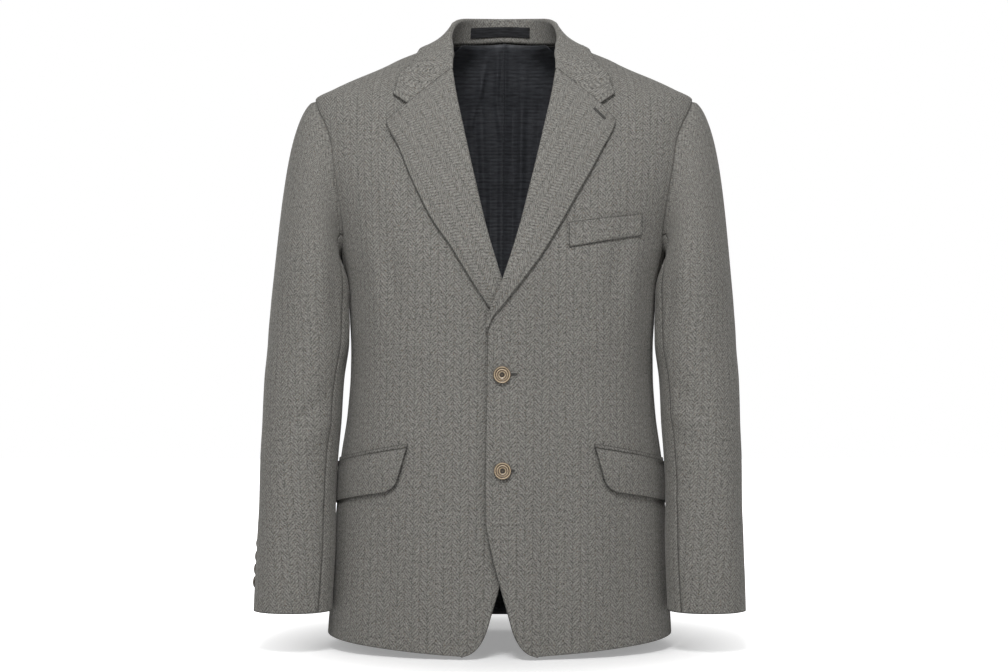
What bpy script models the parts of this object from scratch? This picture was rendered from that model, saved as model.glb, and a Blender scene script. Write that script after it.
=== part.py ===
"""A single-breasted wool suit jacket, worn by nobody: hollow, with its pieces as a tailor cuts and sews them.

Metres, +Z up. The front faces -Y, and +X is the wearer's left. The origin is at the neck, level with the
inner ends of the shoulders, where a wearer's shoulders hold the jacket up.
"""

import bpy
import math
from collections import namedtuple

import numpy as np
from mathutils import Vector

for old in list(bpy.data.objects):
    bpy.data.objects.remove(old, do_unlink=True)

# ---------------------------------------------------------------- driving dimensions

CLOTH = 0.0018          # one finished layer of wool with its facing
LINING = 0.0010         # the lining alone
LINING_DEPTH = 0.0060   # how far inside the back's face the lining hangs
SEAM = 0.0003           # two pieces meet with this gap
LEAN = 0.008            # the jacket hangs a hair off plumb: sideways run for each metre of height
SIDE_HEM = -0.7070      # level of the hem at the sides and the back
FRONT_DROP = 0.0150     # how much lower the fronts hang
CUFF = -0.6746          # level of the cuffs
NECK_POINT = 0.0160     # level of the shoulder seam's inner end
NAPE = 0.0270           # level of the back neck seam at the centre
BREAK = -0.3350         # level where the lapels start to roll
BUTTON_LEVELS = (-0.3905, -0.5035)
BUTTON_RADIUS = 0.0104
BUTTON_THICK = 0.0034
CUFF_BUTTON_RADIUS = 0.0071
CUFF_BUTTON_LEVELS = (-0.5975, -0.6126, -0.6277, -0.6428)
CUFF_BUTTON_THICK = 0.0026
OVERLAP_LIFT = 0.0066   # how far the over front stands off the under front
LAPEL_LIFT = 0.0046     # how far a lapel's face stands off the chest
COLLAR_LIFT = 0.0064    # the same for the collar's fall
FLAP_LIFT = 0.0038      # and a pocket flap's
FLAP_SETTLES = (56.0, 76.0)     # degrees over which it comes closer to the body, beside the sleeve
FLAP_SETTLE = 0.0014
JET_LIFT = 0.0018
JET_THICK = 0.0012
WELT_LIFT = 0.0030
LABEL_THICK = 0.0008
LABEL_GAP = 0.0010
SHANK = 0.0012          # thread between a front button and the cloth
CUFF_BUTTON_STANDOFF = 0.0008
BUTTON_ACROSS = (0.0005, 0.0020)
BUTTON_SIDES = 16
CUFF_BUTTON_SIDES = 10

# The body form: one level section for each row, half as wide as half_width, with its own depth in front
# and behind, and corners that get squarer as roundness grows.
BodyRow = namedtuple("BodyRow", "level half_width front back roundness")
BODY = [
    BodyRow(-0.740, 0.2140, 0.142, 0.143, 2.40),
    BodyRow(-0.660, 0.2085, 0.139, 0.140, 2.40),
    BodyRow(-0.580, 0.2015, 0.136, 0.137, 2.40),
    BodyRow(-0.500, 0.1950, 0.133, 0.130, 2.40),
    BodyRow(-0.440, 0.1868, 0.130, 0.123, 2.40),
    BodyRow(-0.390, 0.1838, 0.128, 0.120, 2.40),
    BodyRow(-0.340, 0.1866, 0.129, 0.123, 2.35),
    BodyRow(-0.290, 0.1902, 0.131, 0.128, 2.30),
    BodyRow(-0.250, 0.1985, 0.129, 0.131, 2.25),
    BodyRow(-0.2135, 0.2065, 0.122, 0.131, 2.25),
    BodyRow(-0.1815, 0.2165, 0.1165, 0.130, 2.20),
    BodyRow(-0.1406, 0.2270, 0.105, 0.124, 2.20),
    BodyRow(-0.1110, 0.2325, 0.0955, 0.119, 2.10),
    BodyRow(-0.0810, 0.2350, 0.083, 0.113, 2.10),
    BodyRow(-0.0544, 0.2326, 0.0705, 0.108, 2.05),
    BodyRow(-0.0410, 0.2100, 0.0640, 0.104, 2.00),
    BodyRow(-0.0285, 0.1855, 0.0575, 0.100, 2.00),
    BodyRow(-0.0120, 0.1480, 0.0500, 0.096, 2.00),
    BodyRow(-0.0036, 0.1305, 0.0455, 0.0935, 2.00),
    BodyRow(0.0060, 0.1055, 0.0400, 0.0900, 2.00),
    BodyRow(0.0160, 0.0800, 0.0345, 0.0865, 2.00),
    BodyRow(0.0270, 0.0660, 0.0300, 0.0830, 2.00),
    BodyRow(0.0400, 0.0600, 0.0280, 0.0820, 2.00),
]

# The armhole: angle round the body from the front, in degrees, and level.
ArmholePoint = namedtuple("ArmholePoint", "name angle level")
ARMHOLE = [
    ArmholePoint("underarm", 90.0, -0.2500),
    ArmholePoint("front_low", 80.0, -0.2380),
    ArmholePoint("front_pitch", 76.3, -0.2000),
    ArmholePoint("front_middle", 76.2, -0.1550),
    ArmholePoint("front_high", 78.8, -0.1060),
    ArmholePoint("front_top", 83.6, -0.0740),
    ArmholePoint("shoulder", 90.0, -0.0544),
    ArmholePoint("back_top", 97.5, -0.0740),
    ArmholePoint("back_high", 103.0, -0.1080),
    ArmholePoint("back_middle", 106.5, -0.1550),
    ArmholePoint("back_pitch", 106.5, -0.2030),
    ArmholePoint("back_low", 101.0, -0.2370),
]
SHOULDER = 6.0          # the shoulder's place in that list

# Side seams: angle round the body at each level.
SeamRow = namedtuple("SeamRow", "level front_angle back_angle")
SIDE_SEAMS = [
    SeamRow(-0.740, 84.0, 116.0),
    SeamRow(-0.500, 83.0, 115.0),
    SeamRow(-0.390, 82.0, 112.0),
    SeamRow(-0.280, 80.4, 103.5),
    SeamRow(-0.237, 80.0, 101.0),
]

# The front's free edge: cut away below the lower button, straight past the buttons, then the roll line.
EdgeRow = namedtuple("EdgeRow", "level across")
FRONT_EDGE = [
    EdgeRow(-0.7220, 0.0440),
    EdgeRow(-0.7185, 0.0345),
    EdgeRow(-0.7090, 0.0240),
    EdgeRow(-0.6940, 0.0160),
    EdgeRow(-0.6737, 0.0100),
    EdgeRow(-0.6407, 0.0005),
    EdgeRow(-0.5910, -0.0125),
    EdgeRow(-0.5600, -0.0175),
    EdgeRow(-0.5000, -0.0180),
    EdgeRow(-0.3900, -0.0170),
    EdgeRow(-0.3350, -0.0165),
    EdgeRow(-0.2826, 0.0020),
    EdgeRow(-0.2175, 0.0222),
    EdgeRow(-0.1623, 0.0358),
    EdgeRow(-0.1010, 0.0500),
    EdgeRow(-0.0378, 0.0632),
    EdgeRow(-0.0100, 0.0670),
    EdgeRow(0.0120, 0.0700),
]

# A lapel's outer edge, on the over front and on the under front.
LapelRow = namedtuple("LapelRow", "level over under")
LAPEL_EDGE = [
    LapelRow(-0.3350, -0.0150, -0.0120),
    LapelRow(-0.3227, -0.0110, 0.0060),
    LapelRow(-0.3121, -0.0020, 0.0145),
    LapelRow(-0.2980, 0.0090, 0.0240),
    LapelRow(-0.2780, 0.0245, 0.0370),
    LapelRow(-0.2413, 0.0510, 0.0597),
    LapelRow(-0.2080, 0.0703, 0.0827),
    LapelRow(-0.1780, 0.0868, 0.0985),
    LapelRow(-0.1527, 0.1016, 0.1107),
    LapelRow(-0.1193, 0.1190, 0.1247),
    LapelRow(-0.0965, 0.1310, 0.1375),
    LapelRow(-0.0870, 0.1340, 0.1410),
]
NOTCH = (0.1161, -0.0664)       # the notch's inner corner: across, level
COLLAR_TIP = (0.1339, -0.0531)
GORGE_TOP = -0.0232             # level where the gorge seam meets the roll line

# The collar's left half, from the centre back to the gorge seam. The stand rises from its base to the fold,
# where the collar turns over, and the fall ends at its edge. The base is given as an angle and a level on the
# body and how far it lies inside, the edge as an angle and a level.
CollarRow = namedtuple("CollarRow", "name base fold edge")
COLLAR = [
    CollarRow("centre_back", (180.0, 0.0285, 0.0010), (0.0000, 0.0860, 0.0594), (180.0, 0.0130)),
    CollarRow("back", (155.0, 0.0256, 0.0010), (0.0350, 0.0715, 0.0577), (155.0, 0.0125)),
    CollarRow("back_side", (130.0, 0.0225, 0.0010), (0.0530, 0.0415, 0.0532), (130.0, 0.0110)),
    CollarRow("shoulder", (105.0, 0.0195, 0.0010), (0.0605, 0.0145, 0.0455), (105.0, 0.0090)),
    CollarRow("side_neck", (82.5, 0.0180, 0.0010), (0.0645, -0.0060, 0.0345), (79.0, 0.0025)),
    CollarRow("neck_front", (74.0, 0.0155, 0.0010), (0.0663, -0.0215, 0.0185), (72.0, -0.0150)),
    CollarRow("roll", (62.0, 0.0040, 0.0080), (0.0660, -0.0395, 0.0010), (70.5, -0.0320)),
    CollarRow("gorge", (58.0, -0.0105, 0.0085), (0.0645, -0.0545, -0.0180), (65.0, -0.0531)),
]
LABEL_ENDS = (-1.46, 1.00)      # in stations of the collar's table; it sits a little off centre
LABEL_SHARES = (0.26, 0.70)     # of the stand's height

# Pockets: the flaps as angles round the body and a level, the breast welt's corners as across and level.
FLAP_ANGLES = (43.5, 92.0)
FLAP_TOP = -0.4773
FLAP_SLOPE = -0.00055           # metres of level for each degree
FLAP_DEPTH = 0.0485
FLAP_SLANT = 0.0125             # how far its front edge leans back
FLAP_CORNER = 0.0160
FLAP_RADIUS = 0.178             # of the body where the flaps lie
JET_WIDTH = 0.0050
WELT_CORNERS = ((0.0779, -0.2400), (0.1650, -0.2243), (0.0779, -0.2105), (0.1661, -0.1980))

# A sleeve below its cap: centre and half sizes of each level ring.
SleeveRow = namedtuple("SleeveRow", "level centre_x centre_y half_width half_depth turned_in")
SLEEVE = [
    SleeveRow(-0.3007, 0.2375, -0.012, 0.0472, 0.0700, 0.08),
    SleeveRow(-0.3499, 0.2372, -0.018, 0.0497, 0.0660, 0.05),
    SleeveRow(-0.3989, 0.2409, -0.026, 0.0483, 0.0610, 0.02),
    SleeveRow(-0.4478, 0.2422, -0.034, 0.0478, 0.0570, 0.0),
    SleeveRow(-0.4964, 0.2450, -0.043, 0.0469, 0.0540, 0.0),
    SleeveRow(-0.5449, 0.2461, -0.051, 0.0460, 0.0510, 0.0),
    SleeveRow(-0.5932, 0.2461, -0.058, 0.0471, 0.0480, 0.0),
    SleeveRow(-0.6407, 0.2473, -0.065, 0.0472, 0.0455, 0.0),
    SleeveRow(-0.6746, 0.2486, -0.069, 0.0471, 0.0435, 0.0),
]
SLEEVE_ROUNDNESS = 2.15
FOREARM_SEAM = 45.0             # degrees round the sleeve from its inner side, over the front
ELBOW_SEAM_TOP = 270.0
ELBOW_SEAM_CUFF = {"left": 218.0, "right": 200.0}
CUFF_BUTTONS_BEFORE_SEAM = 11.0

# ---------------------------------------------------------------- the form

jacket = bpy.data.collections.new("suit_jacket")
bpy.context.scene.collection.children.link(jacket)


def smooth(rows, column):
    """A curve through one column of a table against its level, with no overshoot between rows."""
    x = np.array([row.level for row in rows])
    y = np.array([getattr(row, column) for row in rows])
    step = np.diff(x)
    slope = np.diff(y) / step
    tangent = np.zeros(len(x))
    tangent[0] = slope[0]
    tangent[-1] = slope[-1]
    same_way = slope[:-1] * slope[1:] > 0
    first = 2 * step[1:] + step[:-1]
    second = step[1:] + 2 * step[:-1]
    with np.errstate(divide="ignore", invalid="ignore"):
        mean = (first + second) / (first / slope[:-1] + second / slope[1:])
    tangent[1:-1] = np.where(same_way, mean, 0.0)

    def at(level):
        level = np.clip(np.asarray(level, float), x[0], x[-1])
        k = np.clip(np.searchsorted(x, level) - 1, 0, len(x) - 2)
        h = step[k]
        t = (level - x[k]) / h
        start = (1 + 2 * t) * (1 - t) ** 2 * y[k] + t * (1 - t) ** 2 * h * tangent[k]
        end = t * t * (3 - 2 * t) * y[k + 1] - t * t * (1 - t) * h * tangent[k + 1]
        return start + end

    return at


half_width = smooth(BODY, "half_width")
front_depth = smooth(BODY, "front")
back_depth = smooth(BODY, "back")
roundness = smooth(BODY, "roundness")
front_seam_angle = smooth(SIDE_SEAMS, "front_angle")
back_seam_angle = smooth(SIDE_SEAMS, "back_angle")
edge_across = smooth(FRONT_EDGE, "across")


def on_body(angle, level):
    """The point of the body form at an angle round it, in degrees from the front, and a level."""
    turn = np.radians(angle)
    s = np.sin(turn)
    c = np.cos(turn)
    n = roundness(level)
    depth = np.where(c > 0, front_depth(level), back_depth(level))
    reach = ((np.abs(s) / half_width(level)) ** n + (np.abs(c) / depth) ** n) ** (-1 / n)
    return np.stack([reach * s, -reach * c, level + 0 * reach], -1)


def body(angle, level, out=0.0):
    """on_body moved out square to the form, or in where out is negative."""
    angle = np.asarray(angle, float)
    level = np.asarray(level, float)
    across = on_body(angle + 0.5, level) - on_body(angle - 0.5, level)
    up = on_body(angle, level + 0.002) - on_body(angle, level - 0.002)
    normal = np.cross(across, up)
    normal /= np.linalg.norm(normal, axis=-1, keepdims=True)
    return on_body(angle, level) + normal * np.asarray(out)[..., None]


def front_angle(across, level):
    """The angle round the form of the point of its front that lies so far across at a level."""
    n = roundness(level)
    share = np.clip(np.abs(across) / half_width(level), 0, 1)
    depth = front_depth(level) * (1 - share ** n) ** (1 / n)
    return np.degrees(np.arctan2(across, depth))


def armhole(place):
    """Angle and level at a place on the armhole's closed curve, counted in points of its table."""
    points = np.array([(p.angle, p.level) for p in ARMHOLE])
    place = np.asarray(place, float) % len(points)
    k = place.astype(int)
    t = (place - k)[..., None]
    a, b, c, d = (points[(k + shift) % len(points)] for shift in (-1, 0, 1, 2))
    bend = 2 * a - 5 * b + 4 * c - d
    return b + 0.5 * t * (c - a + t * (bend + t * (3 * (b - c) + d - a)))


def coons(left, right, bottom, top):
    """A Coons patch between four rows of points; its rows run from left to right, from the bottom up."""
    u = np.linspace(0, 1, len(bottom))[None, :, None]
    v = np.linspace(0, 1, len(left))[:, None, None]
    sides = (1 - u) * left[:, None] + u * right[:, None]
    ends = (1 - v) * bottom[None] + v * top[None]
    low = (1 - u) * left[0] + u * right[0]
    high = (1 - u) * left[-1] + u * right[-1]
    return sides + ends - (1 - v) * low - v * high


def patch(left, right, bottom, top):
    """Angle and level over a panel, from its four sides: a Coons patch in space, drawn onto the form."""
    grid = coons(*(on_body(row[:, 0], row[:, 1]) for row in (left, right, bottom, top)))
    return np.stack([np.degrees(np.arctan2(grid[..., 0], -grid[..., 1])), grid[..., 2]], -1)


def unit(vectors):
    """The vectors at length 1."""
    return vectors / np.linalg.norm(vectors, axis=-1, keepdims=True)


def face_normals(grid):
    """Outward directions at the points of a grid."""
    across = np.gradient(grid, axis=1)
    up = np.gradient(grid, axis=0)
    return unit(np.cross(across, up))


def between(start, end, count):
    """count + 1 points on the straight line from start to end."""
    share = np.linspace(0, 1, count + 1)[:, None]
    return (1 - share) * np.array(start) + share * np.array(end)


# ---------------------------------------------------------------- making objects


def cloth_material(name, colour, roughness=0.95, metallic=0.0):
    """A plain Principled material for one piece."""
    material = bpy.data.materials.new(name)
    material.use_nodes = True
    shader = material.node_tree.nodes["Principled BSDF"]
    shader.inputs["Base Color"].default_value = (*colour, 1.0)
    shader.inputs["Roughness"].default_value = roughness
    shader.inputs["Metallic"].default_value = metallic
    return material


WOOL = (0.195, 0.190, 0.175)
SATIN = (0.024, 0.026, 0.030)
HORN = (0.210, 0.150, 0.098)


def placed(points, side):
    """Points on the wearer's left, mirrored for the right, then leaned as the jacket hangs."""
    points = np.array(points, float)
    if side == "right":
        points[..., 0] *= -1
    points[..., 0] += LEAN * points[..., 2]
    return points


def rim_faces(rows, columns, inner):
    """Faces that close the edge between an outer grid and the inner grid, whose points start at inner."""
    border = [i for i in range(columns)]
    border += [j * columns + columns - 1 for j in range(1, rows)]
    border += [(rows - 1) * columns + i for i in range(columns - 2, -1, -1)]
    border += [j * columns for j in range(rows - 2, 0, -1)]
    turned = border[1:] + border[:1]
    return [[b, a, a + inner, b + inner] for a, b in zip(border, turned)]


def outward_halves(grid, j, i):
    """A grid cell's two triangles, as point numbers, split along the diagonal that stands further out."""
    columns = grid.shape[1]
    a = j * columns + i
    b, c, d = a + 1, a + 1 + columns, a + columns
    p, q, r, s = grid[j, i], grid[j, i + 1], grid[j + 1, i + 1], grid[j + 1, i]
    if np.dot(p + r - q - s, np.cross(r - p, s - q)) >= 0:
        return [[a, b, c], [a, c, d]]
    return [[a, b, d], [b, c, d]]


def add_shell(name, outer, inner, side, colour=WOOL):
    """A cloth wall between two grids of points, which run right and up as seen from outside."""
    rows, columns = outer.shape[:2]
    count = rows * columns
    points = placed(np.concatenate([outer.reshape(-1, 3), inner.reshape(-1, 3)]), side)
    faces = rim_faces(rows, columns, count)
    for j in range(rows - 1):
        for i in range(columns - 1):
            for face in outward_halves(outer, j, i):
                faces.append(face)
                faces.append([k + count for k in reversed(face)])
    if side == "right":
        faces = [face[::-1] for face in faces]
    mesh = bpy.data.meshes.new(name)
    mesh.from_pydata(points.tolist(), [], faces)
    mesh.shade_smooth()
    mesh.materials.append(cloth_material(name, colour))
    item = bpy.data.objects.new(name, mesh)
    jacket.objects.link(item)


def add_panel(name, grid, side, out=0.0, thick=CLOTH, colour=WOOL):
    """A wall on the body form, from a grid of angles and levels; its face stands out off the form."""
    angle, level = grid[..., 0], grid[..., 1]
    out = out + 0 * angle
    add_shell(name, body(angle, level, out), body(angle, level, out - thick), side, colour)


# ---------------------------------------------------------------- body panels

SEAM_SHARES = np.array([0, 0.012, 0.035, 0.075, 0.13, 0.22, 0.33, 0.44, 0.55, 0.66, 0.77, 0.87, 0.94, 1.0])
# Places on the armhole where the panels' and the sleeve's points meet.
FRONT_PLACES = np.array([1, 1.5, 2.25, 3, 3.75, 4.5, 5.25, 6])
BACK_PLACES = np.array([11, 10.5, 9.75, 9, 8.25, 7.5, 6.75, 6])
UNDERARM_PLACES = np.array([13, 12.333, 11.667, 11])
RIDGE_STEPS = 7         # along the shoulder seam
NECK_STEPS = 3          # from its inner end to the nape
HALF_GAP = math.degrees(SEAM * 0.6 / 0.17)
CENTRE_GAP = 0.15       # degrees from the centre back seam
# Corners of the back's lining, as angle and level.
LINING_ARMHOLE = (112.0, -0.2100)
LINING_SHOULDER = (115.0, -0.0500)
LINING_NECK = (128.0, 0.0130)


def hem_level(angle):
    """The hem: level behind, and a little lower in front."""
    forward = np.clip(np.cos(np.radians(angle)), 0, 1)
    return SIDE_HEM - FRONT_DROP * forward ** 1.5


def seam_points(seam_angle, end_place, gap):
    """Side seam from the hem up to its place on the armhole, moved sideways by gap degrees."""
    end_angle, end_level = armhole(end_place)
    hem = hem_level(seam_angle(SIDE_HEM))
    level = hem + (end_level - hem) * SEAM_SHARES
    angle = seam_angle(level)
    angle[-1] = end_angle
    return np.stack([angle + gap, level], -1)


def shoulder_ridge(gap):
    """The shoulder seam from its inner end out to the armhole."""
    level = np.linspace(NECK_POINT, ARMHOLE[int(SHOULDER)].level, RIDGE_STEPS + 1)
    return np.stack([np.full(len(level), 90.0 + gap), level], -1)


def stretched(level, top, start=-0.40):
    """Levels of one side of a panel, drawn up from start so that the last one is top."""
    share = np.clip((level - start) / (level[-1] - start), 0, 1)
    return level + (top - level[-1]) * share


def front_panel():
    """Angle and level over a front, from its free edge round to the side panel."""
    seam = seam_points(front_seam_angle, FRONT_PLACES[0], -HALF_GAP)
    arm = armhole(FRONT_PLACES)
    arm[:, 0] -= HALF_GAP
    right = np.concatenate([seam[:-1], arm])
    level = stretched(right[:, 1], FRONT_EDGE[-1].level)
    level[:4] = FRONT_EDGE[0].level + np.array([0, 0.0025, 0.0100, 0.0260])
    left = np.stack([front_angle(edge_across(level), level), level], -1)
    top = np.concatenate([left[-1:], shoulder_ridge(-HALF_GAP)])
    angle = np.linspace(left[0, 0], right[0, 0], len(top))
    bottom = np.stack([angle, hem_level(angle)], -1)
    bottom[0] = left[0]
    bottom[-1] = right[0]
    return patch(left, right, bottom, top)


def overlap_lift(across, level):
    """How far the over front stands off the form where it crosses the under front."""
    near = np.clip((0.065 - across) / 0.045, 0, 1)
    low = np.clip((-0.24 - level) / 0.04, 0, 1)
    return OVERLAP_LIFT * near ** 2 * (3 - 2 * near) * low ** 2 * (3 - 2 * low)


def make_front(side):
    """A front: one panel from the free edge round to the side panel. The left one laps over the right."""
    grid = front_panel()
    lift = 0.0
    if side == "left":
        lift = overlap_lift(on_body(grid[..., 0], grid[..., 1])[..., 0], grid[..., 1])
    add_panel("front_" + side, grid, side, lift)


def make_side(side):
    """The narrow panel under the arm."""
    left = seam_points(front_seam_angle, FRONT_PLACES[0], HALF_GAP)
    right = seam_points(back_seam_angle, BACK_PLACES[0], -HALF_GAP)
    top = armhole(UNDERARM_PLACES)
    top[0] = left[-1]
    top[-1] = right[-1]
    grid = patch(left, right, between(left[0], right[0], len(top) - 1), top)
    add_panel("side_" + side, grid, side)


def back_panel():
    """Angle and level over half the back, from the side panel to the centre seam."""
    seam = seam_points(back_seam_angle, BACK_PLACES[0], HALF_GAP)
    arm = armhole(BACK_PLACES)
    arm[:, 0] += HALF_GAP
    left = np.concatenate([seam[:-1], arm])
    level = stretched(left[:, 1], NAPE)
    right = np.stack([np.full(len(level), 180.0 - CENTRE_GAP), level], -1)
    ridge = shoulder_ridge(HALF_GAP)[::-1]
    top = np.concatenate([ridge, between(ridge[-1], right[-1], NECK_STEPS)[1:]])
    return patch(left, right, between(left[0], right[0], len(top) - 1), top)


def lining_panel():
    """Angle and level over half the back's lining, which shows through the neck and between the hems."""
    level = np.linspace(SIDE_HEM + 0.002, LINING_ARMHOLE[1] - 0.03, 8)
    seam = np.stack([back_seam_angle(level) + 2.0, level], -1)
    arm = between((seam[-1, 0] + 6.0, LINING_ARMHOLE[1]), LINING_SHOULDER, 4)
    left = np.concatenate([seam, arm])
    level = stretched(left[:, 1], NAPE - 0.001)
    right = np.stack([np.full(len(level), 180.0 - CENTRE_GAP), level], -1)
    top = np.concatenate([between(left[-1], LINING_NECK, 2), between(LINING_NECK, right[-1], 3)[1:]])
    return patch(left, right, between(left[0], right[0], 5), top)


def make_back(side):
    """Half the back, and half the lining inside it."""
    add_panel("back_" + side, back_panel(), side)
    grid = lining_panel()
    slack = np.clip((150.0 - grid[..., 0]) / 30.0, 0, 1)
    outer = on_body(grid[..., 0], grid[..., 1])
    outward = unit(outer * np.array([1, 1, 0]))
    outer = outer - outward * (LINING_DEPTH * (1 + slack))[..., None]
    normal = face_normals(outer)
    normal[:, -1, 0] = 0.0
    add_shell("back_lining_" + side, outer, outer - normal * LINING, side, SATIN)


# ---------------------------------------------------------------- sleeves

CAP_STEPS = 6
SLEEVE_STEPS = np.array([0, 0.12, 0.24, 0.36, 0.48, 0.6, 0.72, 0.84, 1.0])
TOP_PLACES = np.arange(1.5, 9.1, 0.75)
UNDER_PLACES = np.array([9, 9.75, 10.5, 11, 11.667, 12.333, 13, 13.5])
CAP_DEPTH = 0.28        # the cap's share of the sleeve's length
ARMHOLE_GAP = 0.0008    # between the armhole and the sleeve set into it
sleeve_x = smooth(SLEEVE[::-1], "centre_x")
sleeve_y = smooth(SLEEVE[::-1], "centre_y")
sleeve_half_width = smooth(SLEEVE[::-1], "half_width")
sleeve_half_depth = smooth(SLEEVE[::-1], "half_depth")
sleeve_turned_in = smooth(SLEEVE[::-1], "turned_in")    # how far its front leans to the body


def sleeve_ring(turn, level):
    """A point of the sleeve below its cap: turn is in degrees from the inner side, over the front."""
    c = np.cos(np.radians(turn))
    s = np.sin(np.radians(turn))
    n = SLEEVE_ROUNDNESS
    across = np.abs(c) / sleeve_half_width(level)
    along = np.abs(s) / sleeve_half_depth(level)
    reach = (across ** n + along ** n) ** (-1 / n)
    inward = reach * (c + sleeve_turned_in(level) * s)
    return np.stack([sleeve_x(level) - inward, sleeve_y(level) - reach * s, level + 0 * reach], -1)


def sleeve_cap(turn, share):
    """A point between the armhole, share 0, and the first ring, share 1, on a curve that leaves squarely."""
    c = np.cos(np.radians(turn))
    s = np.sin(np.radians(turn))
    angle, level = np.moveaxis(armhole(turn / 360.0 * len(ARMHOLE)), -1, 0)
    outer = (1 - c) / 2
    leave = np.stack([0.74 + 0.14 * outer, -0.36 * s, -0.86 + 0.39 * outer + 0.30 * np.abs(s)], -1)
    leave /= np.linalg.norm(leave, axis=-1, keepdims=True)
    start = body(angle, level) + leave * ARMHOLE_GAP
    end = sleeve_ring(turn, SLEEVE[0].level + 0 * turn)
    drop = start[..., 2] - end[..., 2]
    first = start + leave * (0.012 + 0.024 * outer)[..., None]
    arrive = np.stack([-0.10 * outer, 0 * outer, 1 + 0 * outer], -1)
    second = end + arrive * (drop * 0.48)[..., None]
    u = np.asarray(share, float)[..., None]
    return (1 - u) ** 3 * start + 3 * u * (1 - u) ** 2 * first + 3 * u ** 2 * (1 - u) * second + u ** 3 * end


def on_sleeve(turn, depth):
    """A point of the sleeve; depth runs from 0 at the armhole to 1 at the cuff."""
    in_cap = np.clip(depth / CAP_DEPTH, 0, 1)
    below = np.clip((depth - CAP_DEPTH) / (1 - CAP_DEPTH), 0, 1)
    level = SLEEVE[0].level + (CUFF - SLEEVE[0].level) * below
    cap = (depth < CAP_DEPTH)[..., None]
    return np.where(cap, sleeve_cap(turn, in_cap), sleeve_ring(turn, level))


def sleeve(turn, depth, out=0.0):
    """on_sleeve moved out square to its face; next to the armhole it moves as the body's face does."""
    turn = np.asarray(turn, float)
    depth = np.asarray(depth, float)
    around = on_sleeve(turn + 1, depth) - on_sleeve(turn - 1, depth)
    down = on_sleeve(turn, depth + 0.004) - on_sleeve(turn, np.maximum(depth - 0.004, 0))
    normal = np.cross(down, around)
    normal /= np.linalg.norm(normal, axis=-1, keepdims=True)
    angle, level = np.moveaxis(armhole(turn / 360.0 * len(ARMHOLE)), -1, 0)
    edge = body(angle, level, 1.0) - body(angle, level)
    alike = np.clip((edge * normal).sum(-1) * 2, 0, 1)
    share = (alike * np.clip(1 - depth / 0.04, 0, 1))[..., None]
    normal = share * edge + (1 - share) * normal
    normal /= np.linalg.norm(normal, axis=-1, keepdims=True)
    return on_sleeve(turn, depth) + normal * np.asarray(out)[..., None]


def elbow_seam(depth, side):
    """The back seam's turn round the sleeve at a depth."""
    return ELBOW_SEAM_TOP + (ELBOW_SEAM_CUFF[side] - ELBOW_SEAM_TOP) * depth ** 1.2


def add_sleeve_piece(name, side, places, start, end):
    """One of a sleeve's two pieces, between the turns start(depth) and end(depth)."""
    cap = CAP_DEPTH * np.arange(CAP_STEPS) / CAP_STEPS
    depth = np.concatenate([cap, CAP_DEPTH + (1 - CAP_DEPTH) * SLEEVE_STEPS])[::-1, None]
    at_armhole = (places - places[0]) / (places[-1] - places[0])
    even = np.linspace(0, 1, len(places))
    share = at_armhole + (even - at_armhole) * np.clip(depth / CAP_DEPTH, 0, 1)
    first, last = start(depth), end(depth)
    turn = first + (last - first) * share
    depth = depth + 0 * turn
    add_shell(name, sleeve(turn, depth), sleeve(turn, depth, -CLOTH), side)


SLEEVE_SEAM_GAP = 0.25  # degrees from the middle of a sleeve's seam


def make_sleeve(side):
    """A two-piece sleeve, set into the armhole and open at the cuff."""
    add_sleeve_piece(
        "top_sleeve_" + side, side, TOP_PLACES,
        lambda depth: FOREARM_SEAM + SLEEVE_SEAM_GAP + 0 * depth,
        lambda depth: elbow_seam(depth, side) - SLEEVE_SEAM_GAP,
    )
    add_sleeve_piece(
        "under_sleeve_" + side, side, UNDER_PLACES,
        lambda depth: elbow_seam(depth, side) + SLEEVE_SEAM_GAP,
        lambda depth: FOREARM_SEAM + 360.0 - SLEEVE_SEAM_GAP + 0 * depth,
    )


# ---------------------------------------------------------------- lapels and collar

CURL_STEPS = 3


def lapel_lift(level):
    """How far a lapel's face stands off its front: pressed flat where the roll starts."""
    share = np.clip((level - BREAK) / 0.06, 0, 1)
    return LAPEL_LIFT * (0.55 + 0.45 * share ** 2 * (3 - 2 * share))


def lapel_flat(side):
    """Across and level over a lapel as it lies on the chest, from the roll line to its outer edge."""
    column = "over" if side == "left" else "under"
    outer = smooth(LAPEL_EDGE, column)
    share = np.array([0, 0.03, 0.08, 0.16, 0.26, 0.37, 0.48, 0.59, 0.70, 0.80, 0.90, 1.0])
    roll_level = BREAK + (GORGE_TOP - BREAK) * share
    edge_level = BREAK + (LAPEL_EDGE[-1].level - BREAK) * share
    left = np.stack([edge_across(roll_level), roll_level], -1)
    right = np.stack([outer(edge_level), edge_level], -1)
    left[0, 0] -= 0.0010
    top = np.concatenate([between(left[-1], NOTCH, 4), between(NOTCH, right[-1], 2)[1:]])
    return coons(left, right, between(left[0], right[0], len(top) - 1), top)


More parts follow.
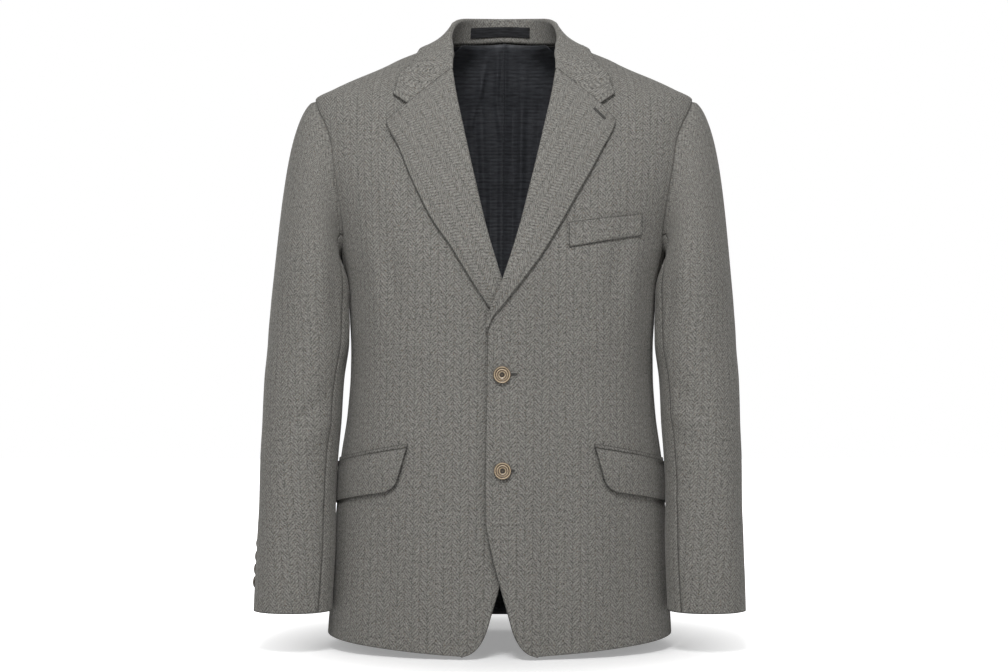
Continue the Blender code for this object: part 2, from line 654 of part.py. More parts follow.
def make_lapel(side):
    """A lapel: it curls out of the front's roll line and lies on the chest."""
    flat = lapel_flat(side)
    level = flat[..., 1]
    lift = lapel_lift(level)
    base = overlap_lift(flat[..., 0], level) if side == "left" else 0 * lift
    angle = front_angle(flat[..., 0], level)
    outer = list(np.moveaxis(body(angle, level, base + lift), 1, 0))
    inner = list(np.moveaxis(body(angle, level, base + lift - CLOTH), 1, 0))
    roll = flat[:, 0, 0] - SEAM
    roll_level = level[:, 0]
    middle = base[:, 0] + (lift[:, 0] - CLOTH) / 2
    for turn in np.radians(np.linspace(90, -90, CURL_STEPS + 1)[1:]):
        for rows, thick in ((outer, 0.0), (inner, CLOTH)):
            radius = (lift[:, 0] + CLOTH) / 2 - thick
            across = roll - radius * math.cos(turn)
            out = middle + radius * math.sin(turn)
            rows.insert(0, body(front_angle(across, roll_level), roll_level, out))
    add_shell("lapel_" + side, np.stack(outer, 1), np.stack(inner, 1), side)


FOLD_RADIUS = 0.0032
FOLD_STEPS = 3
FALL_SAG = 0.0040       # how hollow the fall is between its fold and its edge
FALL_SHARES = (0.25, 0.50, 0.755, 1.0)
STAND_SHARES = (0.0, 0.5)


def collar_lines(station):
    """Base, fold and edge of the collar at places counted in stations, negative on the wearer's right."""
    base = np.array([body(row.base[0], row.base[1], -row.base[2]) for row in COLLAR])
    fold = np.array([row.fold for row in COLLAR])
    edge = np.array([body(*row.edge, COLLAR_LIFT) for row in COLLAR])
    away = np.abs(np.asarray(station, float))
    k = np.minimum(away.astype(int), len(COLLAR) - 2)
    t = (away - k)[..., None]
    lines = []
    for points in (base, fold, edge):
        mirrored = points[1] * np.array([-1, 1, 1])
        points = np.concatenate([[mirrored], points, [2 * points[-1] - points[-2]]])
        a, b, c, d = (points[k + shift] for shift in range(4))
        bend = 2 * a - 5 * b + 4 * c - d
        line = b + 0.5 * t * (c - a + t * (bend + t * (3 * (b - c) + d - a)))
        line[..., 0] *= np.where(np.asarray(station) < 0, -1, 1)
        lines.append(line)
    return lines


def clear_of_body(points, lift):
    """The points, those nearer the form than lift moved out to that distance."""
    angle = np.degrees(np.arctan2(points[..., 0], -points[..., 1]))
    skin = body(angle, points[..., 2], lift + 0 * angle)
    inside = np.hypot(points[..., 0], points[..., 1]) < np.hypot(skin[..., 0], skin[..., 1])
    return np.where(inside[..., None], skin, points)


def make_collar():
    """The collar: a stand round the neck that folds over into the fall."""
    station = np.arange(-len(COLLAR) + 1, len(COLLAR), 1.0)
    base, fold, edge = collar_lines(station)
    ahead, behind = collar_lines(station + 0.05)[1], collar_lines(station - 0.05)[1]
    along = unit(ahead - behind)
    up = unit(fold - base)
    away = unit(np.cross(up, along))
    fall = unit(edge - fold)
    sweep = np.arctan2((fall * away).sum(-1), (fall * up).sum(-1))[:, None]
    columns = {"outer": [], "inner": []}
    centre = fold - up * FOLD_RADIUS
    for name, thick in (("outer", 0.0), ("inner", CLOTH)):
        radius = FOLD_RADIUS - thick
        foot = base + away * (thick - FOLD_RADIUS * 0.3)
        near = centre - away * radius
        rows = [foot + (near - foot) * share for share in STAND_SHARES]
        for turn in np.linspace(0 * sweep, sweep, FOLD_STEPS + 1):
            rows.append(centre - away * radius * np.cos(turn) + up * radius * np.sin(turn))
        start = rows[-1]
        for share in FALL_SHARES:
            sag = away * FALL_SAG * math.sin(math.pi * share)
            rows.append(start + (edge - start) * share - sag)
        columns[name] = rows
    outer = np.stack(columns["outer"], 1)
    inner = np.stack(columns["inner"], 1)
    first_fall = len(STAND_SHARES) + FOLD_STEPS + 1
    for end, side in ((0, -1), (-1, 1)):
        start = np.array([edge_across(GORGE_TOP), GORGE_TOP + SEAM * 2])
        corner = np.array(NOTCH) + np.array([0, SEAM * 2])
        line = np.concatenate([between(start, corner, 3)[1:], [np.array(COLLAR_TIP)]])
        points = body(front_angle(line[:, 0], line[:, 1]), line[:, 1], LAPEL_LIFT)
        points[:, 0] *= side
        outer[end, first_fall:] = points
    rest = slice(first_fall, None)
    lift = np.full((len(outer), 1), COLLAR_LIFT)
    lift[[0, -1]] = LAPEL_LIFT
    outer[:, rest] = clear_of_body(outer[:, rest], lift)
    inner[:, rest] = outer[:, rest] + face_normals(outer)[:, rest] * CLOTH
    add_shell("collar", inner, outer, "left")


def make_neck_label():
    """The bare cloth label on the stand's face at the centre back, laid on the stand's own flat facets."""
    whole = np.arange(-2.0, 3.0)
    base, fold, _ = collar_lines(whole)
    along = unit(collar_lines(whole + 0.05)[1] - collar_lines(whole - 0.05)[1])
    away = unit(np.cross(unit(fold - base), along))
    foot = base - away * FOLD_RADIUS * 0.3
    near = fold - unit(fold - base) * FOLD_RADIUS - away * FOLD_RADIUS
    station = np.array([LABEL_ENDS[0], -1.0, 0.0, LABEL_ENDS[1]])

    def at_station(points):
        return np.stack([np.interp(station, whole, points[:, k]) for k in range(3)], -1)

    rows = np.stack([at_station(foot + (near - foot) * share) for share in LABEL_SHARES])
    inward = -at_station(away)[None]
    back = rows + inward * LABEL_GAP
    add_shell("neck_label", back + inward * LABEL_THICK, back, "left", SATIN)


# ---------------------------------------------------------------- pockets

FLAP_COLUMNS = 9
FLAP_TURNS = 3          # cuts round its lower front corner


def flap_top(angle):
    """Level of a flap's top edge at an angle round the body."""
    return FLAP_TOP + FLAP_SLOPE * (angle - FLAP_ANGLES[0])


def flap_grid():
    """Angle and level over a flap; its front edge leans back and turns a rounded corner."""
    per_degree = math.radians(1) * FLAP_RADIUS
    slant, corner = FLAP_SLANT / per_degree, FLAP_CORNER / per_degree
    start, end = FLAP_ANGLES
    turn = np.linspace(0, 1, FLAP_TURNS + 1)[:, None]
    low_corner = np.array([start + slant, flap_top(start + slant) - FLAP_DEPTH])
    on_edge = low_corner + np.array([-slant, FLAP_DEPTH]) * 0.36
    on_hem = low_corner + np.array([corner, FLAP_SLOPE * corner])
    curve = (1 - turn) ** 2 * on_hem + 2 * turn * (1 - turn) * low_corner + turn ** 2 * on_edge
    left = np.concatenate([curve, between(on_edge, (start, flap_top(start)), 1)[1:]])
    share = np.linspace(0, 1, FLAP_COLUMNS + 1)
    hem_angle = on_hem[0] + (end - on_hem[0]) * share
    bottom = np.stack([hem_angle, flap_top(hem_angle) - FLAP_DEPTH], -1)
    top_angle = start + (end - start) * share
    top = np.stack([top_angle, flap_top(top_angle)], -1)
    return coons(left, between(bottom[-1], top[-1], len(left) - 1), bottom, top)


def make_pocket(side):
    """A jet, the narrow welted strip, and the flap that hangs from it."""
    grid = flap_grid()
    angle, level = grid[..., 0], grid[..., 1]
    beside = np.clip((angle - FLAP_SETTLES[0]) / (FLAP_SETTLES[1] - FLAP_SETTLES[0]), 0, 1)
    below = np.clip((flap_top(angle) - level) / 0.012, 0, 1)
    add_panel("pocket_flap_" + side, grid, side, FLAP_LIFT - FLAP_SETTLE * beside * below)
    angle = np.linspace(*FLAP_ANGLES, FLAP_COLUMNS + 1)
    top = flap_top(angle)
    jet = np.stack([np.stack([angle, top + rise], -1) for rise in (SEAM, JET_WIDTH)])
    add_panel("pocket_jet_" + side, jet, side, JET_LIFT, JET_THICK)


def make_breast_welt():
    """The breast pocket's slanted welt, on the wearer's left."""
    low_in, low_out, high_in, high_out = (np.array(corner) for corner in WELT_CORNERS)
    steps = 5
    flat = coons(
        between(low_in, high_in, 1), between(low_out, high_out, 1),
        between(low_in, low_out, steps), between(high_in, high_out, steps),
    )
    grid = np.stack([front_angle(flat[..., 0], flat[..., 1]), flat[..., 1]], -1)
    add_panel("breast_welt", grid, "left", WELT_LIFT)


# ---------------------------------------------------------------- buttons


def add_button(name, radius, thick, sides, place, face):
    """A dished button with a raised rim, turned from a profile. Its back is at place; it looks along face."""
    rim = radius * 0.80
    profile = [
        (0.0, thick * 0.62),
        (rim * 0.92, thick * 0.62),
        (rim, thick),
        (radius * 0.92, thick),
        (radius, thick * 0.62),
        (radius * 0.96, thick * 0.22),
        (radius * 0.74, 0.0),
        (0.0, 0.0),
    ]
    mesh = bpy.data.meshes.new(name)
    points = [(across, 0.0, height) for across, height in profile]
    mesh.from_pydata(points, [(k, k + 1) for k in range(len(points) - 1)], [])
    mesh.materials.append(cloth_material(name, HORN, 0.35))
    button = bpy.data.objects.new(name, mesh)
    jacket.objects.link(button)
    turn = button.modifiers.new("turned", "SCREW")
    turn.steps = sides
    turn.render_steps = sides
    turn.use_merge_vertices = True
    turn.merge_threshold = 0.00002
    turn.use_normal_calculate = True
    button.location = place
    button.rotation_euler = Vector(face).to_track_quat("Z", "Y").to_euler()


def make_front_buttons():
    """The two front buttons, on the over front."""
    for name, level, across in zip(("front_button_top", "front_button_lower"), BUTTON_LEVELS, BUTTON_ACROSS):
        angle = front_angle(across, level)
        place = placed(body(angle, level, OVERLAP_LIFT + SHANK), "left")
        ahead = placed(body(angle, level, OVERLAP_LIFT + 1.0), "left")
        add_button(name, BUTTON_RADIUS, BUTTON_THICK, BUTTON_SIDES, place, ahead - place)


def make_cuff_buttons(side):
    """Four small buttons that touch in a row, beside the back seam of a sleeve's cuff."""
    for count, level in enumerate(CUFF_BUTTON_LEVELS, 1):
        depth = CAP_DEPTH + (1 - CAP_DEPTH) * (SLEEVE[0].level - level) / (SLEEVE[0].level - CUFF)
        turn = elbow_seam(depth, side) - CUFF_BUTTONS_BEFORE_SEAM
        place = placed(sleeve(turn, depth, CUFF_BUTTON_STANDOFF), side)
        ahead = placed(sleeve(turn, depth, 1.0), side)
        name = "cuff_button_" + side + "_" + str(count)
        add_button(name, CUFF_BUTTON_RADIUS, CUFF_BUTTON_THICK, CUFF_BUTTON_SIDES, place, ahead - place)


# ---------------------------------------------------------------- build


for side in ("left", "right"):
    make_front(side)
    make_side(side)
    make_back(side)
    make_sleeve(side)
    make_lapel(side)
    make_pocket(side)
    make_cuff_buttons(side)
make_collar()
make_neck_label()
make_breast_welt()
make_front_buttons()
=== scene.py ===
# %% [markdown]
# # A herringbone suit jacket, worn by nobody
# A tailored jacket is flat cloth shaped by cutting, pressing and padding until it holds a body's form on its
# own. Here each cut piece becomes a thin closed shell on that form, with its weave running the way the tailor
# laid it, and with the creases, stitches and buttons that make it read as wool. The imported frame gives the
# size and the pieces; everything below is built in the frame's metres, front towards -Y.

# %% Load the frame
import bpy
import math
from collections import namedtuple
from functools import partial, reduce

import numpy as np
from mathutils import Euler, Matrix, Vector


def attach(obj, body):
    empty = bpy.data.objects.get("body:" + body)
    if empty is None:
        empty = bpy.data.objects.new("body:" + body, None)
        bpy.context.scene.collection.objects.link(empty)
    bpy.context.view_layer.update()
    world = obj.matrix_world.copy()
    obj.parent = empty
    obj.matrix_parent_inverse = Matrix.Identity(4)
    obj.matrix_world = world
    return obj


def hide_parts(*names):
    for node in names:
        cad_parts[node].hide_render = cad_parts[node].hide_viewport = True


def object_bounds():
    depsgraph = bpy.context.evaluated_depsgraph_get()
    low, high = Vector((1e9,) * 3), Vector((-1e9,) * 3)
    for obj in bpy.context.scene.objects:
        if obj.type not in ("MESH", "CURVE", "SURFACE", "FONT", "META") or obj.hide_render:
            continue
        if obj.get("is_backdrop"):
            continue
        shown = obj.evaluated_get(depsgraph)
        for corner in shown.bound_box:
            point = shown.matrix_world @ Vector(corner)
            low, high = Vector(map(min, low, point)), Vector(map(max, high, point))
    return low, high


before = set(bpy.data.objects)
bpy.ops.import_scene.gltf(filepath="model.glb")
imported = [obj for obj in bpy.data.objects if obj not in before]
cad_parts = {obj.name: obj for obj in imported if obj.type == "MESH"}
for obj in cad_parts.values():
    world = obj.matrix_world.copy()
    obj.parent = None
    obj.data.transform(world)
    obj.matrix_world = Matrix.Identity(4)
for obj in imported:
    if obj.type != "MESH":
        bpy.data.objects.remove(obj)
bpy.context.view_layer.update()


def table(columns, rows):
    """Rows of numbers with named columns."""
    return [namedtuple("Row", columns)(*row) for row in rows]


print("nodes in the frame:", len(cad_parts))

# %% [markdown]
# ## Camera, light and floor
# A jacket is shown flat on, from a few metres away, with soft lamps on both sides, so that the cloth shows
# its weave and not the lamps. A long lens at the height of the waist keeps the hem and the shoulders square.
# The floor is white and fades into a white surround, and keeps only the soft shadow under the hem.

# %% Camera
CAMERA_PLACE = (-0.0003, -2.680, -0.345)
LENS_MM = 77.4
SENSOR_MM = 36.0


def add_object(name, data):
    """A new object in the scene."""
    thing = bpy.data.objects.new(name, data)
    bpy.context.scene.collection.objects.link(thing)
    return thing


camera_data = bpy.data.cameras.new("front_camera")
camera_data.lens = LENS_MM
camera_data.sensor_width = SENSOR_MM
camera = add_object("front_camera", camera_data)
camera.location = CAMERA_PLACE
camera.rotation_euler = (math.radians(90), 0, 0)
bpy.context.scene.camera = camera
bpy.context.scene.view_settings.view_transform = "Standard"
print("camera", LENS_MM, "mm at", CAMERA_PLACE)


# %% Soft lamps and a plain world
LAMPS = table("name place size watts", [
    ("key", (-0.15, -1.8, 1.5), 0.7, 41),
    ("fill_left", (-1.9, -2.0, 0.6), 1.2, 8.4),
    ("fill_right", (1.9, -2.0, 0.6), 1.2, 8.0),
    ("behind", (0, 2.6, 1.2), 1.8, 22),
])
CHEST = (0, 0, -0.10)   # where every lamp looks
AMBIENT = 0.165         # the white world's light on the cloth, as a share of the white seen behind it

for row in LAMPS:
    lamp_data = bpy.data.lights.new(row.name, "AREA")
    lamp_data.size = row.size
    lamp_data.energy = row.watts
    lamp = add_object(row.name, lamp_data)
    lamp.location = row.place
    lamp.rotation_euler = (Vector(CHEST) - Vector(row.place)).to_track_quat("-Z", "Y").to_euler()


def feed(tree, value, socket):
    """Link a socket to another one, or set it to a plain value."""
    if isinstance(value, bpy.types.NodeSocket):
        tree.links.new(value, socket)
    else:
        socket.default_value = value


def add_node(tree, kind, inputs=(), **settings):
    """A new node's outputs. Its settings are set first, then its inputs, named or numbered, are fed."""
    node = tree.nodes.new(kind)
    for name, value in settings.items():
        setattr(node, name, value)
    for key, value in dict(inputs).items():
        feed(tree, value, node.inputs[key])
    return node.outputs


world = bpy.data.worlds.new("white_studio")
bpy.context.scene.world = world
world.use_nodes = True
tree = world.node_tree
tree.nodes.clear()
rays = add_node(tree, "ShaderNodeLightPath")
direct = rays["Is Camera Ray"]
for ray in ("Is Glossy Ray", "Is Transmission Ray"):
    direct = add_node(tree, "ShaderNodeMath", {0: direct, 1: rays[ray]}, operation="MAXIMUM")[0]
level = add_node(tree, "ShaderNodeMapRange", {"To Min": AMBIENT, "To Max": 1.0, "Value": direct})
sky = add_node(tree, "ShaderNodeBackground", {"Color": (1, 1, 1, 1), "Strength": level["Result"]})
add_node(tree, "ShaderNodeOutputWorld", {"Surface": sky[0]})
print(len(LAMPS), "lamps and a white world")


# %% [markdown]
# ### Wiring materials by hand
# A material is a small graph. This helper lets the graphs below be written as sums and products, in the
# order that a weaver or a finisher would think of them, instead of as a long list of boxes and wires.

# %% A helper for node graphs
class Graph:
    """Shorthand for one material's nodes."""

    def __init__(self, name):
        self.material = bpy.data.materials.new(name)
        self.material.use_nodes = True
        self.tree = self.material.node_tree
        self.shader = self.tree.nodes["Principled BSDF"]

    def node(self, kind, inputs=(), **settings):
        return add_node(self.tree, "ShaderNode" + kind, inputs, **settings)

    def math(self, operation, *values):
        return self.node("Math", enumerate(values), operation=operation)[0]

    def times(self, a, b):
        return self.math("MULTIPLY", a, b)

    def plus(self, a, b):
        return self.math("ADD", a, b)

    def minus(self, a, b):
        return self.math("SUBTRACT", a, b)

    def blend(self, *parts):
        """A sum of values, each with its share."""
        return reduce(self.plus, [self.times(value, share) for value, share in parts])

    def mix(self, share, low, high):
        """A colour between two colours."""
        low, high = ((*colour, 1.0) if isinstance(colour, tuple) else colour for colour in (low, high))
        return self.node("Mix", {0: share, 6: low, 7: high}, data_type="RGBA")[2]

    def spread(self, value, low, high):
        """The value's run from low to high, drawn out to 0..1 and held there."""
        inputs = {"Value": value, "From Min": low, "From Max": high}
        return self.node("MapRange", inputs, interpolation_type="SMOOTHSTEP")["Result"]

    def parts(self, vector):
        """The three numbers of a vector."""
        return self.node("SeparateXYZ", {0: vector})

    def own_map(self, name):
        """The two numbers of a map that the piece carries; "cloth" is metres across and up its cloth."""
        return self.parts(self.node("UVMap", uv_map=name)[0])[:2]

    def own_value(self, name):
        """A value that the piece's mesh carries at each point."""
        return self.node("Attribute", attribute_name=name)["Fac"]

    def object_point(self, scale=(1, 1, 1)):
        return self.node("Mapping", {0: self.node("TexCoord")["Object"], "Scale": scale})[0]

    def point(self, x, y, z=0.0):
        return self.node("CombineXYZ", enumerate((x, y, z)))[0]

    def noise(self, vector, scale, detail=2.0, roughness=0.5):
        inputs = {"Vector": vector, "Scale": scale, "Detail": detail, "Roughness": roughness}
        return self.node("TexNoise", inputs)["Fac"]

    def bump(self, height, distance, strength):
        inputs = {"Height": height, "Distance": distance, "Strength": strength}
        self.finish(Normal=self.node("Bump", inputs)[0])

    def finish(self, **values):
        """Feed the shader's own sockets by name, with _ for a space."""
        for name, value in values.items():
            feed(self.tree, value, self.shader.inputs[name.replace("_", " ")])
        return self.material


print("graph helper ready")


# %% [markdown]
# ## The body form
# A tailor works on a dress form, and so does this file: one level section for each row of a short table, half
# as wide as `half_width`, with its own depth in front and behind. Any point of the jacket's body is then an
# angle round the form and a level on it, and a panel is a patch of such points. Tables this small are easy to
# change, and a smooth curve through them has no dents.

# %% The form's table
BODY = table("level half_width front back roundness", [
    (-0.740, 0.2140, 0.142, 0.143, 2.40),
    (-0.660, 0.2085, 0.139, 0.140, 2.40),
    (-0.580, 0.2015, 0.136, 0.137, 2.40),
    (-0.500, 0.1950, 0.133, 0.130, 2.40),
    (-0.440, 0.1868, 0.130, 0.123, 2.40),
    (-0.390, 0.1838, 0.128, 0.120, 2.40),
    (-0.340, 0.1866, 0.129, 0.123, 2.35),
    (-0.290, 0.1902, 0.131, 0.128, 2.30),
    (-0.250, 0.1985, 0.129, 0.131, 2.25),
    (-0.2135, 0.2065, 0.122, 0.131, 2.25),
    (-0.1815, 0.2165, 0.1165, 0.130, 2.20),
    (-0.1406, 0.2270, 0.105, 0.124, 2.20),
    (-0.1110, 0.2325, 0.0955, 0.119, 2.10),
    (-0.0810, 0.2350, 0.083, 0.113, 2.10),
    (-0.0544, 0.2326, 0.0705, 0.108, 2.05),
    (-0.0410, 0.2100, 0.0640, 0.104, 2.00),
    (-0.0285, 0.1855, 0.0575, 0.100, 2.00),
    (-0.0120, 0.1480, 0.0500, 0.096, 2.00),
    (-0.0036, 0.1305, 0.0455, 0.0935, 2.00),
    (0.0060, 0.1055, 0.0400, 0.0900, 2.00),
    (0.0160, 0.0800, 0.0345, 0.0865, 2.00),
    (0.0270, 0.0660, 0.0300, 0.0830, 2.00),
    (0.0400, 0.0600, 0.0280, 0.0820, 2.00),
])
LEAN = 0.008            # the jacket hangs a hair off plumb: sideways run for each metre of height
print("form from", BODY[0].level, "to", BODY[-1].level)


# %% Curves through a table
def smooth(rows, column):
    """A curve through one column of a table against its level, with no overshoot between rows."""
    x = np.array([row.level for row in rows])
    y = np.array([getattr(row, column) for row in rows])
    step = np.diff(x)
    slope = np.diff(y) / step
    tangent = np.zeros(len(x))
    tangent[0] = slope[0]
    tangent[-1] = slope[-1]
    same_way = slope[:-1] * slope[1:] > 0
    first = 2 * step[1:] + step[:-1]
    second = step[1:] + 2 * step[:-1]
    with np.errstate(divide="ignore", invalid="ignore"):
        mean = (first + second) / (first / slope[:-1] + second / slope[1:])
    tangent[1:-1] = np.where(same_way, mean, 0.0)

    def at(level):
        level = np.clip(np.asarray(level, float), x[0], x[-1])
        k = np.clip(np.searchsorted(x, level) - 1, 0, len(x) - 2)
        h = step[k]
        t = (level - x[k]) / h
        start = (1 + 2 * t) * (1 - t) ** 2 * y[k] + t * (1 - t) ** 2 * h * tangent[k]
        end = t * t * (3 - 2 * t) * y[k + 1] - t * t * (1 - t) * h * tangent[k + 1]
        return start + end

    return at


half_width, front_depth, back_depth, roundness = (smooth(BODY, column) for column in BODY[0]._fields[1:])
WAIST = -0.39
print("half width at the waist: %.4f m" % half_width(WAIST))


# %% Points on the form
TURN_STEP = 0.5         # degrees and metres to each side that give the form's slope at a point
LEVEL_STEP = 0.002
ARC_STEPS = 24


def joined(*columns):
    """Numbers side by side: the last axis of one array."""
    return np.stack(columns, -1)


def bell(share):
    """1 at 0, falling softly to both sides."""
    return np.exp(-(share ** 2))


def unit(vectors):
    """The vectors at length 1."""
    return vectors / np.linalg.norm(vectors, axis=-1, keepdims=True)


def on_body(angle, level):
    """The point of the form at an angle round it, in degrees from the front, and a level."""
    turn = np.radians(angle)
    s = np.sin(turn)
    c = np.cos(turn)
    n = roundness(level)
    depth = np.where(c > 0, front_depth(level), back_depth(level))
    reach = ((np.abs(s) / half_width(level)) ** n + (np.abs(c) / depth) ** n) ** (-1 / n)
    return joined(reach * s, -reach * c, level + 0 * reach)


def body(angle, level, out=0.0):
    """on_body moved out square to the form, or in where out is negative."""
    angle = np.asarray(angle, float)
    level = np.asarray(level, float)
    across = on_body(angle + TURN_STEP, level) - on_body(angle - TURN_STEP, level)
    up = on_body(angle, level + LEVEL_STEP) - on_body(angle, level - LEVEL_STEP)
    return on_body(angle, level) + unit(np.cross(across, up)) * np.asarray(out)[..., None]


def front_angle(across, level):
    """The angle round the form of the point of its front that lies so far across at a level."""
    n = roundness(level)
    share = np.clip(np.abs(across) / half_width(level), 0, 1)
    return np.degrees(np.arctan2(across, front_depth(level) * (1 - share ** n) ** (1 / n)))


def arc_across(angle, level):
    """Metres of cloth round the form from the centre front to an angle, at a level."""
    angle = np.asarray(angle, float)
    shares = np.linspace(0, 1, ARC_STEPS + 1)
    turns = angle[..., None] * shares
    points = on_body(turns, np.asarray(level, float)[..., None] + 0 * turns)
    return np.sign(angle) * np.linalg.norm(np.diff(points, axis=-2), axis=-1).sum(-1)


print("half the chest, round the form: %.3f m" % arc_across(np.array([180.0]), np.array([-0.2]))[0])


# %% Patches
def coons(left, right, bottom, top):
    """A Coons patch between four rows of points; its rows run from left to right, from the bottom up."""
    u = np.linspace(0, 1, len(bottom))[None, :, None]
    v = np.linspace(0, 1, len(left))[:, None, None]
    sides = (1 - u) * left[:, None] + u * right[:, None]
    ends = (1 - v) * bottom[None] + v * top[None]
    low = (1 - u) * left[0] + u * right[0]
    high = (1 - u) * left[-1] + u * right[-1]
    return sides + ends - (1 - v) * low - v * high


def patch(left, right, bottom, top):
    """Angle and level over a panel, from its four sides: a Coons patch in space, drawn onto the form."""
    grid = coons(*(on_body(row[:, 0], row[:, 1]) for row in (left, right, bottom, top)))
    return joined(np.degrees(np.arctan2(grid[..., 0], -grid[..., 1])), grid[..., 2])


def between(start, end, count):
    """count + 1 points on the straight line from start to end."""
    share = np.linspace(0, 1, count + 1)[:, None]
    return (1 - share) * np.array(start) + share * np.array(end)


def finer(values, times):
    """The same row of values with each step cut into so many."""
    values = np.asarray(values, float)
    place = np.linspace(0, len(values) - 1, (len(values) - 1) * times + 1)
    if values.ndim == 1:
        return np.interp(place, np.arange(len(values)), values)
    return joined(np.interp(place, np.arange(len(values)), column) for column in values.T)


def ease(value):
    """0 to 1 with a soft start and end."""
    value = np.clip(value, 0, 1)
    return value * value * (3 - 2 * value)


print("patch helpers ready")


# %% [markdown]
# ## Cloth as a thin closed shell
# Wool cloth is not a surface: it has a thickness that catches light along every edge. Each piece is two grids
# of points, the face and the back, joined by a slightly rounded rim. Keeping the grids in step also gives the
# cloth its own map, in metres across and up, so the weave runs with the grain of each cut piece.

# %% Making a shell
CLOTH = 0.0018          # one finished layer of wool with its facing
LINING = 0.0010         # the lining alone
RIM_SHARE = 0.09        # how far a rim bulges, as a share of the cloth's thickness
EDGE_BAND = 0.0015      # width of the painted shade along every edge of a piece
SIDES = ("left", "right")
made = {}               # the finished piece of each node
grids = {}              # its face and back grids, for the stitches that follow its edges


def placed(points, side):
    """Points on the wearer's left, mirrored for the right, then leaned as the jacket hangs."""
    points = np.array(points, float)
    if side == "right":
        points[..., 0] *= -1
    points[..., 0] += LEAN * points[..., 2]
    return points


def border(rows, columns):
    """Point numbers once round a grid's edge."""
    number = np.arange(rows * columns).reshape(rows, columns)
    return np.concatenate([number[0], number[1:, -1], number[-1, -2::-1], number[-2:0:-1, 0]])


def grid_faces(rows, columns):
    """The grid's cells, as point numbers."""
    first = (np.arange(rows - 1)[:, None] * columns + np.arange(columns - 1)).reshape(-1, 1)
    return first + np.array([[0, 1, columns + 1, columns]])


def rows_length(points):
    """Metres along each row of a grid, counted from its left end."""
    step = np.linalg.norm(np.diff(points, axis=1), axis=-1)
    return np.concatenate([np.zeros((len(points), 1)), np.cumsum(step, axis=1)], 1)


def columns_length(points):
    """Metres up each column of a grid, counted from its bottom end."""
    return rows_length(points.transpose(1, 0, 2)).T


def edge_nearness(face):
    """1 at a grid's edges, falling to 0 at EDGE_BAND inside them."""
    across, up = rows_length(face), columns_length(face)
    away = np.minimum(np.minimum(across, across[:, -1:] - across), np.minimum(up, up[-1:] - up))
    return np.clip(1 - away / EDGE_BAND, 0, 1)


def add_shell(node, face, back, side, cloth_map, materials, painted_edge_shade=1.0):
    """A closed cloth wall for a node, between two grids that run right and up as seen from outside.

    The last argument is the share of painted edge shade: 1 where an edge takes it in full, and 0 where it
    is sewn flat against its neighbour.
    """
    rows, columns = face.shape[:2]
    count = rows * columns
    face, back = placed(face, side), placed(back, side)
    ring = border(rows, columns)
    flat_face, flat_back = face.reshape(-1, 3), back.reshape(-1, 3)
    middle = (flat_face[ring] + flat_back[ring]) / 2
    near = np.array([np.clip(ring // columns, 1, rows - 2), np.clip(ring % columns, 1, columns - 2)])
    inside = (face[near[0], near[1]] + back[near[0], near[1]]) / 2
    middle = middle + unit(middle - inside) * CLOTH * RIM_SHARE
    points = np.concatenate([flat_face, flat_back, middle])
    cells = grid_faces(rows, columns)
    faces = [cells, cells[:, ::-1] + count]
    turned = np.roll(ring, -1)
    k = np.arange(len(ring)) + 2 * count
    k_turned = np.roll(k, -1)
    faces.append(joined(turned, ring, k, k_turned))
    faces.append(joined(k_turned, k, ring + count, turned + count))
    slots = np.concatenate([np.full(len(part), index) for part, index in zip(faces, (0, 1, 0, 0))])
    faces = np.concatenate(faces)
    if side == "right":
        faces = faces[:, ::-1]
    mesh = bpy.data.meshes.new(node + "_cloth")
    mesh.from_pydata(points.tolist(), [], faces.tolist())
    flat_map = cloth_map.reshape(-1, 2)
    mapped = np.concatenate([flat_map, flat_map, flat_map[ring]])
    layer = mesh.uv_layers.new(name="cloth")
    layer.data.foreach_set("uv", mapped[faces.ravel()].astype(np.float32).ravel())
    for material in materials:
        mesh.materials.append(material)
    mesh.polygons.foreach_set("material_index", np.minimum(slots, len(materials) - 1).astype(np.int32))
    # painted shade: within EDGE_BAND of each edge and over the whole rim the cloth is darkened by this share;
    # the wool reads it as the edge attribute
    painted_edge_shade = (painted_edge_shade + np.zeros((rows, columns))).ravel()
    near_edge = edge_nearness(face).ravel() * painted_edge_shade
    near_edge = np.concatenate([near_edge, near_edge, painted_edge_shade[ring]])
    mesh.attributes.new("edge", "FLOAT", "POINT").data.foreach_set("value", near_edge.astype(np.float32))
    mesh.shade_smooth()
    made[node] = add_object(node + "_cloth", mesh)
    grids[node] = (face, back)
    return made[node]


def cloth_area(piece):
    """Square metres of one side of a finished shell."""
    return sum(polygon.area for polygon in piece.data.polygons) / 2


print("shell helpers ready")


# %% [markdown]
# ## The wool
# Herringbone is a twill whose diagonal turns back at the end of every column, with a small break where it
# turns. Grey tweed is spun from dark and light fibres, so each rib is mottled, with stray brown and pale
# flecks, and the finished cloth has a short soft nap. The graph draws the ribs as a sum of across and up, so
# they follow the grain of every piece, and the same ribs lift the surface a little.

# %% Herringbone cloth
COLUMN = 0.0095         # width of one column of the herringbone
RIB = 0.0047            # from one diagonal rib to the next, up the cloth
RIB_SLOPE = 1.1         # rise of a rib for its run
TURN_WIDTH = 0.0013     # the dark line where a column's ribs turn back
WOOL_DARK = (0.026, 0.025, 0.023)
WOOL_LIGHT = (0.346, 0.338, 0.313)
WOOL_BROWN = (0.170, 0.126, 0.086)
WOOL_PALE = (0.480, 0.470, 0.440)
EDGE_SHADE = 0.70       # how far the painted shade along the edges of each piece darkens the cloth towards WOOL_DARK
RIB_WANDER = 1.3        # how far the ribs stray, in ribs
BROWN_FLECKS = 0.50
PALE_FLECKS = 0.45
NAP = 0.00030           # height of the ribs and fibres


